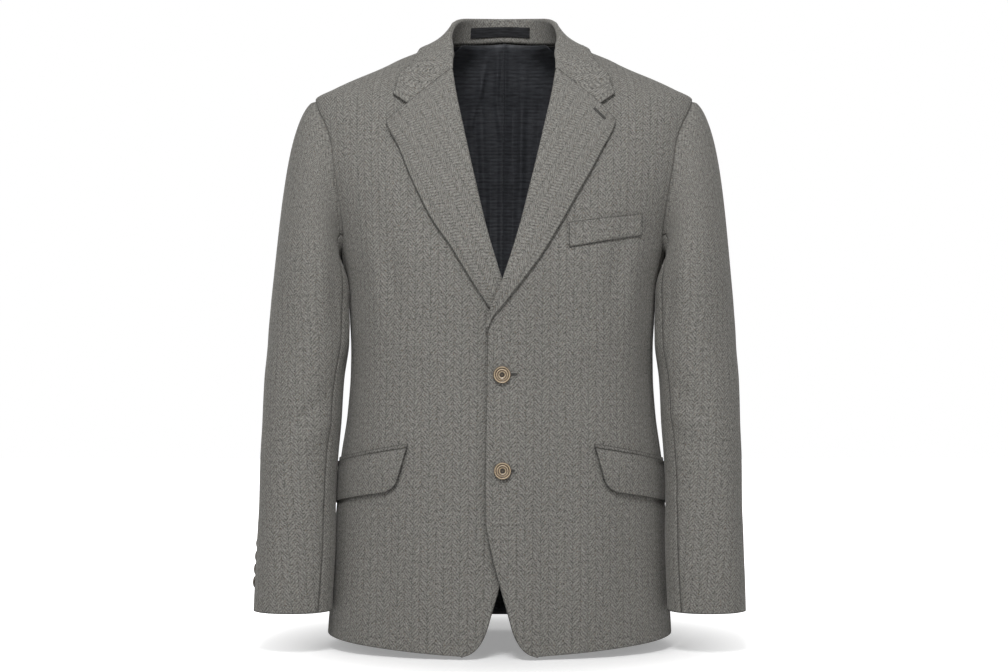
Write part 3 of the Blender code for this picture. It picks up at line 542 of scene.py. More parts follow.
def herringbone(name):
    """Grey herringbone wool."""
    g = Graph(name)
    across, up = g.own_map("cloth")
    column = g.math("FLOOR", g.math("DIVIDE", across, COLUMN))
    zigzag = g.math("PINGPONG", across, COLUMN)
    rib = g.plus(g.math("DIVIDE", up, RIB), g.times(zigzag, RIB_SLOPE / RIB))
    rib = g.plus(rib, g.times(g.math("MODULO", column, 2.0), 0.5))
    cloth_point = g.point(across, up)
    wander = g.noise(cloth_point, 210.0, 3.0)
    rib = g.plus(rib, g.times(wander, RIB_WANDER))
    wave = g.math("SINE", g.times(rib, 2 * math.pi))
    ribs = g.spread(wave, -0.85, 0.75)
    from_turn = g.math("MINIMUM", zigzag, g.minus(COLUMN, zigzag))
    turn = g.spread(from_turn, 0.0, TURN_WIDTH)
    fibre = g.noise(g.point(g.times(across, 1.2), up), 560.0, 2.0, 0.8)
    slub = g.noise(cloth_point, 230.0, 2.0, 0.8)
    tone = g.blend(
        (ribs, 0.24), (g.spread(fibre, 0.36, 0.64), 0.36), (g.spread(slub, 0.33, 0.67), 0.28), (turn, 0.12),
    )
    colour = g.mix(tone, WOOL_DARK, WOOL_LIGHT)
    brown = g.spread(g.noise(cloth_point, 410.0, 1.0), 0.60, 0.72)
    colour = g.mix(g.times(brown, BROWN_FLECKS), colour, WOOL_BROWN)
    pale = g.spread(g.noise(g.point(up, across), 560.0, 1.0), 0.66, 0.76)
    colour = g.mix(g.times(pale, PALE_FLECKS), colour, WOOL_PALE)
    # painted shade along the edges of each piece
    colour = g.mix(g.times(g.own_value("edge"), EDGE_SHADE), colour, WOOL_DARK)
    g.bump(g.blend((ribs, 0.8), (fibre, 0.5)), NAP, 0.8)
    return g.finish(
        Base_Color=colour, Roughness=0.92, Sheen_Weight=0.18, Sheen_Roughness=0.45,
        Sheen_Tint=(0.9, 0.88, 0.84, 1.0), Specular_IOR_Level=0.2,
    )


wool = herringbone("herringbone_wool")
print("wool column", COLUMN, "m")


# %% [markdown]
# ## Lining, label and thread
# The lining is a charcoal satin with a fine rib across it. It is smoother than wool, so it takes a soft gleam
# on every fold. The label under the collar is a plain dark woven tape, left bare.

# %% Lining and label materials
LINING_RIB = 0.0044
LABEL_RIB = 0.0034
SATIN_DARK = (0.0125, 0.0134, 0.0165)
SATIN_LIGHT = (0.063, 0.067, 0.077)
LABEL_DARK = (0.002, 0.002, 0.0025)
LABEL_LIGHT = (0.036, 0.037, 0.041)
SATIN_DEPTH = 0.00016   # height of the satin's ribs


def ribbed_satin(name, dark, light, rib, roughness, sheen):
    """A dark satin with fine ribs across the cloth."""
    g = Graph(name)
    across, up = g.own_map("cloth")
    wave = g.math("SINE", g.times(up, 2 * math.pi / rib))
    cloud = g.noise(g.point(g.times(across, 0.16), up), 330.0, 3.0, 0.7)
    weave = g.noise(g.point(across, up), 1700.0, 2.0)
    tone = g.blend((g.spread(wave, -1.0, 1.0), 0.22), (g.spread(cloud, 0.3, 0.7), 0.6))
    g.bump(g.plus(tone, g.times(weave, 0.4)), SATIN_DEPTH, 0.7)
    return g.finish(
        Base_Color=g.mix(tone, dark, light), Roughness=roughness, Sheen_Weight=sheen,
        Sheen_Roughness=0.4, Specular_IOR_Level=0.4,
    )


lining = ribbed_satin("charcoal_lining", SATIN_DARK, SATIN_LIGHT, LINING_RIB, 0.62, 0.12)
label_tape = ribbed_satin("label_tape", LABEL_DARK, LABEL_LIGHT, LABEL_RIB, 1.0, 0.0)
print("lining rib", LINING_RIB, "m")


# %% [markdown]
# ## Creases
# Pressed wool still moves: it hangs in shallow folds below the arms, strains a little towards the buttons
# and breaks at the elbow. Each crease is a soft ridge or trough between two points of the cloth, uneven in
# length and depth, placed where a worn jacket shows it.

# %% Placing creases
Crease = namedtuple("Crease", "u0 v0 u1 v1 width depth")    # the columns of every table of folds below


def creased(u, v, rows):
    """How far the cloth stands out over its plain form at points of its map."""
    lift = np.zeros(np.broadcast(u, v).shape)
    for row in map(Crease._make, rows):
        run_u, run_v = row.u1 - row.u0, row.v1 - row.v0
        t = np.clip(((u - row.u0) * run_u + (v - row.v0) * run_v) / (run_u ** 2 + run_v ** 2), 0, 1)
        away = np.hypot(u - row.u0 - t * run_u, v - row.v0 - t * run_v)
        lift += row.depth * bell(away / row.width) * (0.3 + 0.7 * np.sin(np.pi * t))
    return lift


def waver(u, v, size=0.0005):
    """The slight unevenness of pressed cloth."""
    long_waves = np.sin(31 * u + 7 * v) + 0.8 * np.sin(23 * v - 19 * u + 1.3)
    return size * (long_waves + 0.5 * np.sin(61 * u + 3 * v))


BODY_CREASES = {
    "left": [
        (0.172, -0.215, 0.158, -0.350, 0.016, 0.0036),
        (0.150, -0.205, 0.138, -0.300, 0.012, -0.0024),
        (0.060, -0.375, 0.150, -0.330, 0.011, 0.0016),
        (0.050, -0.400, 0.135, -0.405, 0.012, -0.0015),
        (0.205, -0.260, 0.196, -0.420, 0.018, -0.0033),
        (0.095, -0.545, 0.104, -0.705, 0.026, 0.0033),
        (0.150, -0.530, 0.164, -0.700, 0.022, -0.0030),
        (0.240, -0.330, 0.262, -0.640, 0.024, 0.0039),
        (0.300, -0.170, 0.325, -0.330, 0.02, 0.0042),
        (0.345, -0.140, 0.350, -0.300, 0.018, -0.0033),
        (0.290, -0.380, 0.395, -0.415, 0.014, -0.0021),
        (0.330, -0.480, 0.345, -0.690, 0.026, 0.0036),
        (0.134, -0.262, 0.137, -0.474, 0.0045, -0.0009),
    ],
    "right": [
        (0.170, -0.210, 0.154, -0.335, 0.015, 0.0033),
        (0.146, -0.215, 0.131, -0.320, 0.013, -0.0027),
        (0.055, -0.385, 0.142, -0.345, 0.012, 0.0015),
        (0.203, -0.255, 0.198, -0.400, 0.017, -0.0030),
        (0.080, -0.560, 0.092, -0.700, 0.024, 0.0027),
        (0.142, -0.540, 0.151, -0.705, 0.023, -0.0033),
        (0.236, -0.340, 0.256, -0.620, 0.025, 0.0036),
        (0.296, -0.180, 0.318, -0.320, 0.019, 0.0039),
        (0.350, -0.150, 0.352, -0.280, 0.017, -0.0030),
        (0.285, -0.372, 0.385, -0.400, 0.013, -0.0019),
        (0.320, -0.500, 0.338, -0.695, 0.027, 0.0039),
        (0.134, -0.262, 0.137, -0.474, 0.0045, -0.0009),
    ],
}
print("body creases:", {side: len(rows) for side, rows in BODY_CREASES.items()})


# %% Where the body's face lies
OVERLAP_LIFT = 0.0066   # how far the over front stands off the under front
OVERLAP_END, OVERLAP_FADE = 0.065, 0.045    # metres across where the lift ends, and over which it fades
OVERLAP_TOP, OVERLAP_START = -0.24, 0.04    # level below which it starts, and metres down to its full height
FRONT_HALF = 90.0       # degrees from the centre front to the side
CALM = 0.9              # the share of the creases that is pressed flat where the sleeve lies against the body
UNDER_ARM, UNDER_ARM_SPREAD = 84.0, 18.0    # degrees round the body where the sleeve hangs beside it
UNDER_ARM_LOW, UNDER_ARM_HIGH = -0.39, -0.225


def overlap_lift(across, level):
    """How far the over front stands off the form where it crosses the under front."""
    near = ease((OVERLAP_END - across) / OVERLAP_FADE)
    low = ease((OVERLAP_TOP - level) / OVERLAP_START)
    return OVERLAP_LIFT * near * low


def under_arm(angle, level):
    """Nearly 1 where the sleeve hangs close beside the body, and 0 well away from it."""
    beside = bell((angle - UNDER_ARM) / UNDER_ARM_SPREAD)
    return CALM * beside * ease((level - UNDER_ARM_LOW) / 0.05) * ease((UNDER_ARM_HIGH - level) / 0.02)


def body_lift(side, angle, level):
    """How far the face of the body's cloth stands off the form: its creases, and the overlap on the front."""
    across = arc_across(angle, level)
    lift = creased(across, level, BODY_CREASES[side]) + waver(across, level)
    lift = lift * (1 - under_arm(angle, level))
    if side == "left":
        lift = lift + overlap_lift(on_body(angle, level)[..., 0], level) * (angle < FRONT_HALF)
    return lift


def cloth_up(angle, level, start=-0.45):
    """Metres of cloth up the form at an angle, counted from a level."""
    shares = np.linspace(0, 1, ARC_STEPS + 1)
    levels = start + (np.asarray(level, float)[..., None] - start) * shares
    points = on_body(np.asarray(angle, float)[..., None] + 0 * levels, levels)
    length = np.linalg.norm(np.diff(points, axis=-2), axis=-1).sum(-1)
    return start + np.sign(level - start) * length


def body_map(angle, level):
    """The cloth's map on the body: metres across from the centre front, and metres up."""
    return joined(arc_across(angle, level), cloth_up(angle, level))


print("over front stands off by", OVERLAP_LIFT, "m")


# %% [markdown]
# ## Cutting the body
# The body has two fronts, two narrow side panels under the arms and two halves of the back. Neighbours share
# the same seam line, so they are cut from the same short tables, and meet with the seam pressed open: a
# shallow groove along each edge. The cells are finest beside the seams, where the groove and the rounded
# edges need them.

# %% Lines that the pieces share
SIDE_HEM = -0.7070
FRONT_DROP = 0.0150
NECK_POINT = 0.0160
NAPE = 0.0270
FINE = 8                # cuts in each step of the pattern's coarse rows
SEAM_GAP = 0.10         # degrees from the middle of a seam
GROOVE_DEPTH = 0.0009
GROOVE_WIDTH = 0.0018

ARMHOLE = table("name angle level", [
    ("underarm", 90.0, -0.2500),
    ("front_low", 80.0, -0.2380),
    ("front_pitch", 76.3, -0.2000),
    ("front_middle", 76.2, -0.1550),
    ("front_high", 78.8, -0.1060),
    ("front_top", 83.6, -0.0740),
    ("shoulder", 90.0, -0.0544),
    ("back_top", 97.5, -0.0740),
    ("back_high", 103.0, -0.1080),
    ("back_middle", 106.5, -0.1550),
    ("back_pitch", 106.5, -0.2030),
    ("back_low", 101.0, -0.2370),
])
SIDE_SEAMS = table("level front_angle back_angle", [
    (-0.740, 84.0, 116.0),
    (-0.500, 83.0, 115.0),
    (-0.390, 82.0, 112.0),
    (-0.280, 80.4, 103.5),
    (-0.237, 80.0, 101.0),
])
FRONT_EDGE = table("level across", [
    (-0.7220, 0.0440),
    (-0.7185, 0.0345),
    (-0.7090, 0.0240),
    (-0.6940, 0.0160),
    (-0.6737, 0.0100),
    (-0.6407, 0.0005),
    (-0.5910, -0.0125),
    (-0.5600, -0.0175),
    (-0.5000, -0.0180),
    (-0.3900, -0.0170),
    (-0.3350, -0.0165),
    (-0.2826, 0.0020),
    (-0.2175, 0.0222),
    (-0.1623, 0.0358),
    (-0.1010, 0.0500),
    (-0.0378, 0.0632),
    (-0.0100, 0.0670),
    (0.0120, 0.0700),
])
front_seam_angle = smooth(SIDE_SEAMS, "front_angle")
back_seam_angle = smooth(SIDE_SEAMS, "back_angle")
edge_across = smooth(FRONT_EDGE, "across")


def curved(points, first, share):
    """A share of the way from the second to the third of four points, on a curve through all of them."""
    a, b, c, d = (points[(first + shift) % len(points)] for shift in range(4))
    bend = 2 * a - 5 * b + 4 * c - d
    return b + 0.5 * share * (c - a + share * (bend + share * (3 * (b - c) + d - a)))


def armhole(place):
    """Angle and level at a place on the armhole's closed curve, counted in points of its table."""
    points = np.array([(p.angle, p.level) for p in ARMHOLE])
    place = np.asarray(place, float) % len(points)
    k = place.astype(int)
    return curved(points, k - 1, (place - k)[..., None])


def armhole_at(turn):
    """Angle and level of the armhole where the sleeve meets it at a turn, in degrees."""
    return np.moveaxis(armhole(turn / 360.0 * len(ARMHOLE)), -1, 0)


def hem_level(angle):
    """The hem: level behind, and a little lower in front."""
    return SIDE_HEM - FRONT_DROP * np.clip(np.cos(np.radians(angle)), 0, 1) ** 1.5


print("armhole points:", len(ARMHOLE))


# %% Sides of the panels
SEAM_SHARES = np.array([0, 0.012, 0.035, 0.075, 0.13, 0.22, 0.33, 0.44, 0.55, 0.66, 0.77, 0.87, 0.94, 1.0])
FRONT_PLACES = np.array([1, 1.5, 2.25, 3, 3.75, 4.5, 5.25, 6])
BACK_PLACES = np.array([11, 10.5, 9.75, 9, 8.25, 7.5, 6.75, 6])
UNDERARM_PLACES = np.array([13, 12.333, 11.667, 11])
CORNER_RISES = [0, 0.0025, 0.0100, 0.0260, 0.0620]     # levels up the rounded corner at the front's hem
SEAM_SETTLE = 0.03      # metres over which a side seam swings to its place on the armhole
RIDGE_STEPS = 7
NECK_STEPS = 3


def seam_points(seam_angle, end_place, gap):
    """Side seam from the hem up to its place on the armhole, moved sideways by gap degrees."""
    end_angle, end_level = armhole(end_place)
    hem = hem_level(seam_angle(SIDE_HEM))
    level = hem + (end_level - hem) * finer(SEAM_SHARES, FINE)
    angle = seam_angle(level)
    settle = ease((level - end_level + SEAM_SETTLE) / SEAM_SETTLE)
    return joined(angle + (end_angle - angle) * settle + gap, level)


def shoulder_ridge(gap):
    """The shoulder seam from its inner end out to the armhole."""
    level = np.linspace(NECK_POINT, ARMHOLE[6].level, RIDGE_STEPS * FINE + 1)
    return joined(np.full(len(level), 90.0 + gap), level)


def stretched(level, top, start=-0.40):
    """Levels of one side of a panel, drawn up from start so that the last one is top."""
    share = np.clip((level - start) / (level[-1] - start), 0, 1)
    return level + (top - level[-1]) * share


def front_panel():
    """Angle and level over a front, from its free edge round to the side panel."""
    seam = seam_points(front_seam_angle, FRONT_PLACES[0], -SEAM_GAP)
    arm = armhole(finer(FRONT_PLACES, FINE))
    arm[:, 0] -= SEAM_GAP
    right = np.concatenate([seam[:-1], arm])
    level = stretched(right[:, 1], FRONT_EDGE[-1].level)
    low = FRONT_EDGE[0].level + finer(CORNER_RISES, FINE)
    corner = len(low)
    blend = ease(np.linspace(0, 1, corner))
    level[:corner] = low * (1 - blend) + level[:corner] * blend
    left = joined(front_angle(edge_across(level), level), level)
    neck = between(left[-1], shoulder_ridge(-SEAM_GAP)[0], FINE)
    top = np.concatenate([neck[:-1], shoulder_ridge(-SEAM_GAP)])
    angle = np.linspace(left[0, 0], right[0, 0], len(top))
    bottom = joined(angle, hem_level(angle))
    bottom[0] = left[0]
    bottom[-1] = right[0]
    return patch(left, right, bottom, top)


def side_panel():
    """Angle and level over the narrow panel under the arm."""
    left = seam_points(front_seam_angle, FRONT_PLACES[0], SEAM_GAP)
    right = seam_points(back_seam_angle, BACK_PLACES[0], -SEAM_GAP)
    top = armhole(finer(UNDERARM_PLACES, FINE))
    top[0] = left[-1]
    top[-1] = right[-1]
    return patch(left, right, between(left[0], right[0], len(top) - 1), top)


def back_panel():
    """Angle and level over half the back, from the side panel to the centre seam."""
    seam = seam_points(back_seam_angle, BACK_PLACES[0], SEAM_GAP)
    arm = armhole(finer(BACK_PLACES, FINE))
    arm[:, 0] += SEAM_GAP
    left = np.concatenate([seam[:-1], arm])
    level = stretched(left[:, 1], NAPE)
    right = joined(np.full(len(level), 180.0 - SEAM_GAP), level)
    ridge = shoulder_ridge(SEAM_GAP)[::-1]
    top = np.concatenate([ridge, between(ridge[-1], right[-1], NECK_STEPS * FINE)[1:]])
    return patch(left, right, between(left[0], right[0], len(top) - 1), top)


print("front panel cells:", front_panel().shape)


# %% Panels with grooves at their seams
BORDER_LINES = np.array([0.25, 0.55])   # extra lines of a grid inside each edge, in cells
END_LINES = (0.60, 0.88)                # shares of the last cell


def with_border_lines(grid):
    """The grid with two more lines just inside each edge, for grooves and rounded edges."""
    for axis in (0, 1):
        last = grid.shape[axis] - 1
        starts, ends = [0, *BORDER_LINES], [*(last - BORDER_LINES[::-1]), last]
        place = np.concatenate([starts, np.arange(1, last), ends])
        low = np.clip(place.astype(int), 0, last - 1)
        share = (place - low).reshape((-1, 1, 1) if axis == 0 else (1, -1, 1))
        grid = (1 - share) * np.take(grid, low, axis) + share * np.take(grid, low + 1, axis)
    return grid


def with_end_lines(grid):
    """The grid with two more lines just inside its right edge and its top edge."""
    for axis in (0, 1):
        last = grid.shape[axis] - 1
        below = np.take(grid, [last - 1], axis)
        end = np.take(grid, [last], axis)
        extra = [below + (end - below) * share for share in END_LINES]
        grid = np.concatenate([np.take(grid, np.arange(last), axis), *extra, end], axis)
    return grid


def groove(points, seams):
    """How far the face sinks beside the named edges of a grid."""
    across, up = rows_length(points), columns_length(points)
    away = {"left": across, "right": across[:, -1:] - across, "bottom": up, "top": up[-1:] - up}
    sink = np.zeros(across.shape)
    for edge in seams:
        sink = np.maximum(sink, bell(away[edge] / GROOVE_WIDTH))
    return sink * GROOVE_DEPTH


def add_panel(name, grid, side, stand, seams, back_material, thick=CLOTH):
    """A piece on the body: its face stands off the body's cloth, and sinks at its seams."""
    angle, level = grid[..., 0], grid[..., 1]
    lift = body_lift(side, angle, level) + stand
    sink = groove(on_body(angle, level), seams)
    face = body(angle, level, lift - sink)
    back = body(angle, level, lift - thick)
    return add_shell(name, face, back, side, body_map(angle, level), [wool, back_material])


for side in SIDES:
    for part, cut, seams in (
        ("front", front_panel, ("right", "top")),
        ("side", side_panel, ("left", "right", "top")),
        ("back", back_panel, ("left", "right", "top")),
    ):
        grid = with_border_lines(cut())
        piece = add_panel(part + "_" + side, grid, side, 0.0, seams, lining)
        print(piece.name, len(piece.data.polygons), "cells, %.4f square metres" % cloth_area(piece))


# %% [markdown]
# ### The back lining
# Behind the fronts hangs the lining of the back, cut wider than the cloth so that the arms can move. The
# spare width is one pleat down the centre, and the rest ripples in soft folds from the neck.

# %% Back lining
LINING_DEPTH = 0.0060
LINING_ARMHOLE = (112.0, -0.2100)
LINING_SHOULDER = (115.0, -0.0500)
LINING_NECK = (128.0, 0.0200)
PLEAT_WIDTH = 0.0042
PLEAT_DEPTH = 0.0030    # how far the cloth sinks into the centre pleat
PLEAT_OVER = 0.8        # degrees that the pleat's left half covers of its right half
PLEAT_UNDER = 0.4       # the right half sinks into the pleat by this share of PLEAT_DEPTH
FOLD_SHIFT = 0.004      # the left half's folds lie this much nearer the centre
SLACK_ANGLE, SLACK_SPREAD = 150.0, 30.0     # degrees where the lining starts to hang away from the wool
LINING_FOLDS = [
    (0.034, 0.020, 0.022, -0.300, 0.0042, 0.0030),
    (0.052, 0.000, 0.043, -0.260, 0.0048, -0.0022),
    (0.018, -0.050, 0.014, -0.560, 0.0036, -0.0022),
    (0.075, -0.020, 0.060, -0.350, 0.0060, 0.0026),
    (0.100, -0.030, 0.085, -0.300, 0.0060, -0.0016),
    (0.060, -0.260, 0.052, -0.640, 0.0045, 0.0016),
    (0.120, -0.060, 0.110, -0.420, 0.0070, 0.0015),
]
PLEAT_FOLDS = {         # short folds where the slack cloth breaks beside the pleat
    "left": [
        (0.022, 0.020, 0.026, -0.190, 0.0042, 0.0026),
        (0.012, -0.020, 0.010, -0.140, 0.0034, -0.0016),
    ],
    "right": [
        (0.0085, 0.020, 0.0100, -0.048, 0.0034, 0.0030),
        (0.0100, -0.040, 0.0032, -0.090, 0.0034, 0.0030),
        (0.0034, -0.080, 0.0026, -0.330, 0.0032, 0.0030),
        (0.0240, 0.005, 0.0460, -0.080, 0.0042, 0.0034),
        (0.0400, -0.050, 0.0300, -0.170, 0.0042, -0.0022),
    ],
}


def lining_panel(centre):
    """Angle and level over half the back's lining, up to an angle at the centre back."""
    level = np.linspace(SIDE_HEM + 0.002, LINING_ARMHOLE[1] - 0.03, 7 * FINE + 1)
    seam = joined(back_seam_angle(level) + 2.0, level)
    arm = between((seam[-1, 0] + 6.0, LINING_ARMHOLE[1]), LINING_SHOULDER, 4 * FINE)
    left = np.concatenate([seam, arm])
    level = stretched(left[:, 1], NAPE - 0.001)
    right = joined(np.full(len(level), centre), level)
    near = between(left[-1], LINING_NECK, 2 * FINE)
    top = np.concatenate([near, between(LINING_NECK, right[-1], 12 * FINE)[1:]])
    return patch(left, right, between(left[0], right[0], len(top) - 1), top)


def grid_normals(points):
    """Outward directions at the points of a grid."""
    return unit(np.cross(np.gradient(points, axis=1), np.gradient(points, axis=0)))


def add_lining(side):
    """Half the back's lining, rippled and sunk into its centre pleat."""
    grid = lining_panel(180.0 + PLEAT_OVER if side == "left" else 180.0 - SEAM_GAP)
    angle, level = grid[..., 0], grid[..., 1]
    from_centre = arc_across(np.full(angle.shape, 180.0), level) - arc_across(angle, level)
    folds = creased(from_centre + (FOLD_SHIFT if side == "left" else 0.0), level, LINING_FOLDS)
    folds = folds + creased(from_centre, level, PLEAT_FOLDS[side])
    pleat = PLEAT_DEPTH * bell(from_centre / PLEAT_WIDTH) * (1.0 if side == "left" else PLEAT_UNDER)
    slack = np.clip((SLACK_ANGLE - angle) / SLACK_SPREAD, 0, 1)
    depth = LINING_DEPTH * (1 + slack) + folds + pleat
    face = on_body(angle, level)
    face = face - unit(face * np.array([1, 1, 0])) * depth[..., None]
    normal = grid_normals(face)
    normal[:, -1, 0] = 0.0
    cloth_map = joined(from_centre, level)
    return add_shell("back_lining_" + side, face, face - normal * LINING, side, cloth_map, [lining])


for side in SIDES:
    piece = add_lining(side)
    print(piece.name, "%.4f square metres" % cloth_area(piece))


# %% [markdown]
# ## Sleeves
# A tailored sleeve is cut in two: a wide top sleeve and a narrow under sleeve, joined by a seam along the
# front of the forearm and one behind the elbow. Its cap is eased into the armhole, so it rises out of the
# shoulder in a round head. The arm hangs a little forward, and the cloth breaks in short folds at the elbow.

# %% Sleeve table
SLEEVE = table("level centre_x centre_y half_width half_depth turned_in", [
    (-0.3007, 0.2375, -0.012, 0.0472, 0.0700, 0.08),
    (-0.3499, 0.2372, -0.018, 0.0497, 0.0660, 0.05),
    (-0.3989, 0.2409, -0.026, 0.0483, 0.0610, 0.02),
    (-0.4478, 0.2422, -0.034, 0.0478, 0.0570, 0.0),
    (-0.4964, 0.2450, -0.043, 0.0469, 0.0540, 0.0),
    (-0.5449, 0.2461, -0.051, 0.0460, 0.0510, 0.0),
    (-0.5932, 0.2461, -0.058, 0.0471, 0.0480, 0.0),
    (-0.6407, 0.2473, -0.065, 0.0472, 0.0455, 0.0),
    (-0.6746, 0.2486, -0.069, 0.0471, 0.0435, 0.0),
])
CUFF = -0.6746
SLEEVE_ROUNDNESS = 2.15
FOREARM_SEAM = 45.0             # degrees round the sleeve from its inner side, over the front
ELBOW_SEAM_TOP = 270.0
ELBOW_SEAM_CUFF = {"left": 218.0, "right": 200.0}
CAP_DEPTH = 0.28                # the cap's share of the sleeve's length
ARMHOLE_GAP = 0.0008
SLEEVE_LENGTH = 0.63
SLEEVE_GIRTH = 0.36

sleeve_x, sleeve_y, sleeve_half_width, sleeve_half_depth, sleeve_turned_in = (
    smooth(SLEEVE[::-1], column) for column in SLEEVE[0]._fields[1:]
)
print("sleeve rings:", len(SLEEVE))


# %% Points on a sleeve
def sleeve_ring(turn, level):
    """A point of the sleeve below its cap: turn is in degrees from the inner side, over the front."""
    c = np.cos(np.radians(turn))
    s = np.sin(np.radians(turn))
    n = SLEEVE_ROUNDNESS
    across = np.abs(c) / sleeve_half_width(level)
    along = np.abs(s) / sleeve_half_depth(level)
    reach = (across ** n + along ** n) ** (-1 / n)
    inward = reach * (c + sleeve_turned_in(level) * s)
    return joined(sleeve_x(level) - inward, sleeve_y(level) - reach * s, level + 0 * reach)


def sleeve_cap(turn, share):
    """A point between the armhole, share 0, and the first ring, share 1, on a curve that leaves squarely."""
    c = np.cos(np.radians(turn))
    s = np.sin(np.radians(turn))
    angle, level = armhole_at(turn)
    outer = (1 - c) / 2
    leave = unit(joined(0.74 + 0.14 * outer, -0.36 * s, -0.86 + 0.39 * outer + 0.30 * np.abs(s)))
    start = body(angle, level) + leave * ARMHOLE_GAP
    end = sleeve_ring(turn, SLEEVE[0].level + 0 * turn)
    drop = start[..., 2] - end[..., 2]
    first = start + leave * (0.012 + 0.024 * outer)[..., None]
    arrive = joined(-0.10 * outer, 0 * outer, 1 + 0 * outer)
    second = end + arrive * (drop * 0.48)[..., None]
    u = np.asarray(share, float)[..., None]
    return (1 - u) ** 3 * start + 3 * u * (1 - u) ** 2 * first + 3 * u ** 2 * (1 - u) * second + u ** 3 * end


def on_sleeve(turn, depth):
    """A point of the sleeve; depth runs from 0 at the armhole to 1 at the cuff."""
    below = np.clip((depth - CAP_DEPTH) / (1 - CAP_DEPTH), 0, 1)
    level = SLEEVE[0].level + (CUFF - SLEEVE[0].level) * below
    in_cap = (depth < CAP_DEPTH)[..., None]
    cap = sleeve_cap(turn, np.clip(depth / CAP_DEPTH, 0, 1))
    return np.where(in_cap, cap, sleeve_ring(turn, level))


def sleeve(turn, depth, out=0.0):
    """on_sleeve moved out square to its face; next to the armhole it moves as the body's face does."""
    turn = np.asarray(turn, float)
    depth = np.asarray(depth, float)
    around = on_sleeve(turn + 1, depth) - on_sleeve(turn - 1, depth)
    down = on_sleeve(turn, depth + 0.004) - on_sleeve(turn, np.maximum(depth - 0.004, 0))
    normal = unit(np.cross(down, around))
    angle, level = armhole_at(turn)
    edge = body(angle, level, 1.0) - body(angle, level)
    alike = np.clip((edge * normal).sum(-1) * 2, 0, 1)
    share = (alike * np.clip(1 - depth / 0.04, 0, 1))[..., None]
    normal = unit(share * edge + (1 - share) * normal)
    return on_sleeve(turn, depth) + normal * np.asarray(out)[..., None]


def elbow_seam(depth, side):
    """The back seam's turn round the sleeve at a depth."""
    return ELBOW_SEAM_TOP + (ELBOW_SEAM_CUFF[side] - ELBOW_SEAM_TOP) * depth ** 1.2


print("sleeve functions ready")


# %% [markdown]
# ### Folds in the sleeves
# The folds are placed by how far round the sleeve they lie, from the inner side over the front, and how far
# down it. The deepest bunches under the arm, against the body's front. Short ones sit inside the elbow, and
# two long soft ones fall from the front of the cap.

# %% Sleeve pieces
SLEEVE_FOLDS = {
    "left": [
        (0.055, -0.300, 0.098, -0.350, 0.010, -0.0022),
        (0.030, -0.335, 0.105, -0.372, 0.009, 0.0020),
        (0.040, -0.372, 0.092, -0.400, 0.008, -0.0018),
        (0.110, -0.130, 0.118, -0.290, 0.012, -0.0020),
        (0.080, -0.120, 0.086, -0.240, 0.010, 0.0018),
        (0.290, -0.290, 0.330, -0.350, 0.012, 0.0020),
        (0.270, -0.150, 0.285, -0.290, 0.014, -0.0022),
        (0.120, -0.430, 0.128, -0.600, 0.014, 0.0014),
        (0.210, -0.340, 0.215, -0.520, 0.016, -0.0014),
        (0.020, -0.450, 0.060, -0.480, 0.009, 0.0014),
    ],
    "right": [
        (0.050, -0.310, 0.102, -0.365, 0.010, -0.0024),
        (0.035, -0.350, 0.098, -0.392, 0.009, 0.0020),
        (0.044, -0.395, 0.085, -0.415, 0.008, -0.0016),
        (0.105, -0.125, 0.116, -0.300, 0.012, -0.0022),
        (0.078, -0.130, 0.083, -0.230, 0.010, 0.0016),
        (0.285, -0.300, 0.325, -0.365, 0.012, 0.0022),
        (0.268, -0.160, 0.280, -0.300, 0.014, -0.0020),
        (0.118, -0.420, 0.124, -0.610, 0.014, 0.0012),
        (0.205, -0.330, 0.212, -0.500, 0.016, -0.0016),
        (0.024, -0.440, 0.066, -0.476, 0.009, 0.0012),
    ],
}
TOP_PLACES = np.arange(1.5, 9.1, 0.75)
UNDER_PLACES = np.array([9, 9.75, 10.5, 11, 11.667, 12.333, 13, 13.5])
CAP_STEPS = 6
SLEEVE_STEPS = np.array([0, 0.12, 0.24, 0.36, 0.48, 0.6, 0.72, 0.84, 1.0])
SLEEVE_SEAM_GAP = 0.25
TUCK = 0.0045           # how far the sleeve's seam allowance runs under the body's cloth
TUCK_GAP = 0.0004
ARMHOLE_MIDDLE = (90.0, -0.15)             # angle and level inside the armhole
ARMHOLE_OUT = 0.17      # metres from the form's axis to the armhole
INNER_TURN, INNER_SPREAD = 15.0, 36.0      # degrees round the sleeve where it lies close to the body
INNER_DEPTH = 0.50      # and down to this share of its length
UNDER_ARM_FOLD = [      # the cloth of the sleeve bunches against the front of the body below the armhole
    (0.036, -0.074, 0.030, -0.205, 0.014, 0.0054),
    (0.030, -0.190, 0.028, -0.262, 0.012, 0.0030),
    (0.062, -0.120, 0.055, -0.235, 0.011, -0.0026),
]


def sleeve_lift(side, turn, depth):
    """How far a sleeve's face stands off its plain form; nothing where it joins the armhole."""
    round_it = turn % 360.0 / 360.0 * SLEEVE_GIRTH
    down = -depth * SLEEVE_LENGTH
    radius = SLEEVE_GIRTH / (2 * math.pi)
    across, along = radius * np.cos(np.radians(turn)), radius * np.sin(np.radians(turn))
    lift = creased(round_it, down, SLEEVE_FOLDS[side]) + waver(across, along + down, 0.0006)
    inner = bell(((turn - INNER_TURN + 180) % 360 - 180) / INNER_SPREAD)
    smoothed = CALM * inner * ease((INNER_DEPTH - depth) / 0.08)
    lift = lift * ease(depth / 0.10) * (1 - smoothed)
    return lift + creased(round_it, down, UNDER_ARM_FOLD) * ease(depth / 0.16)


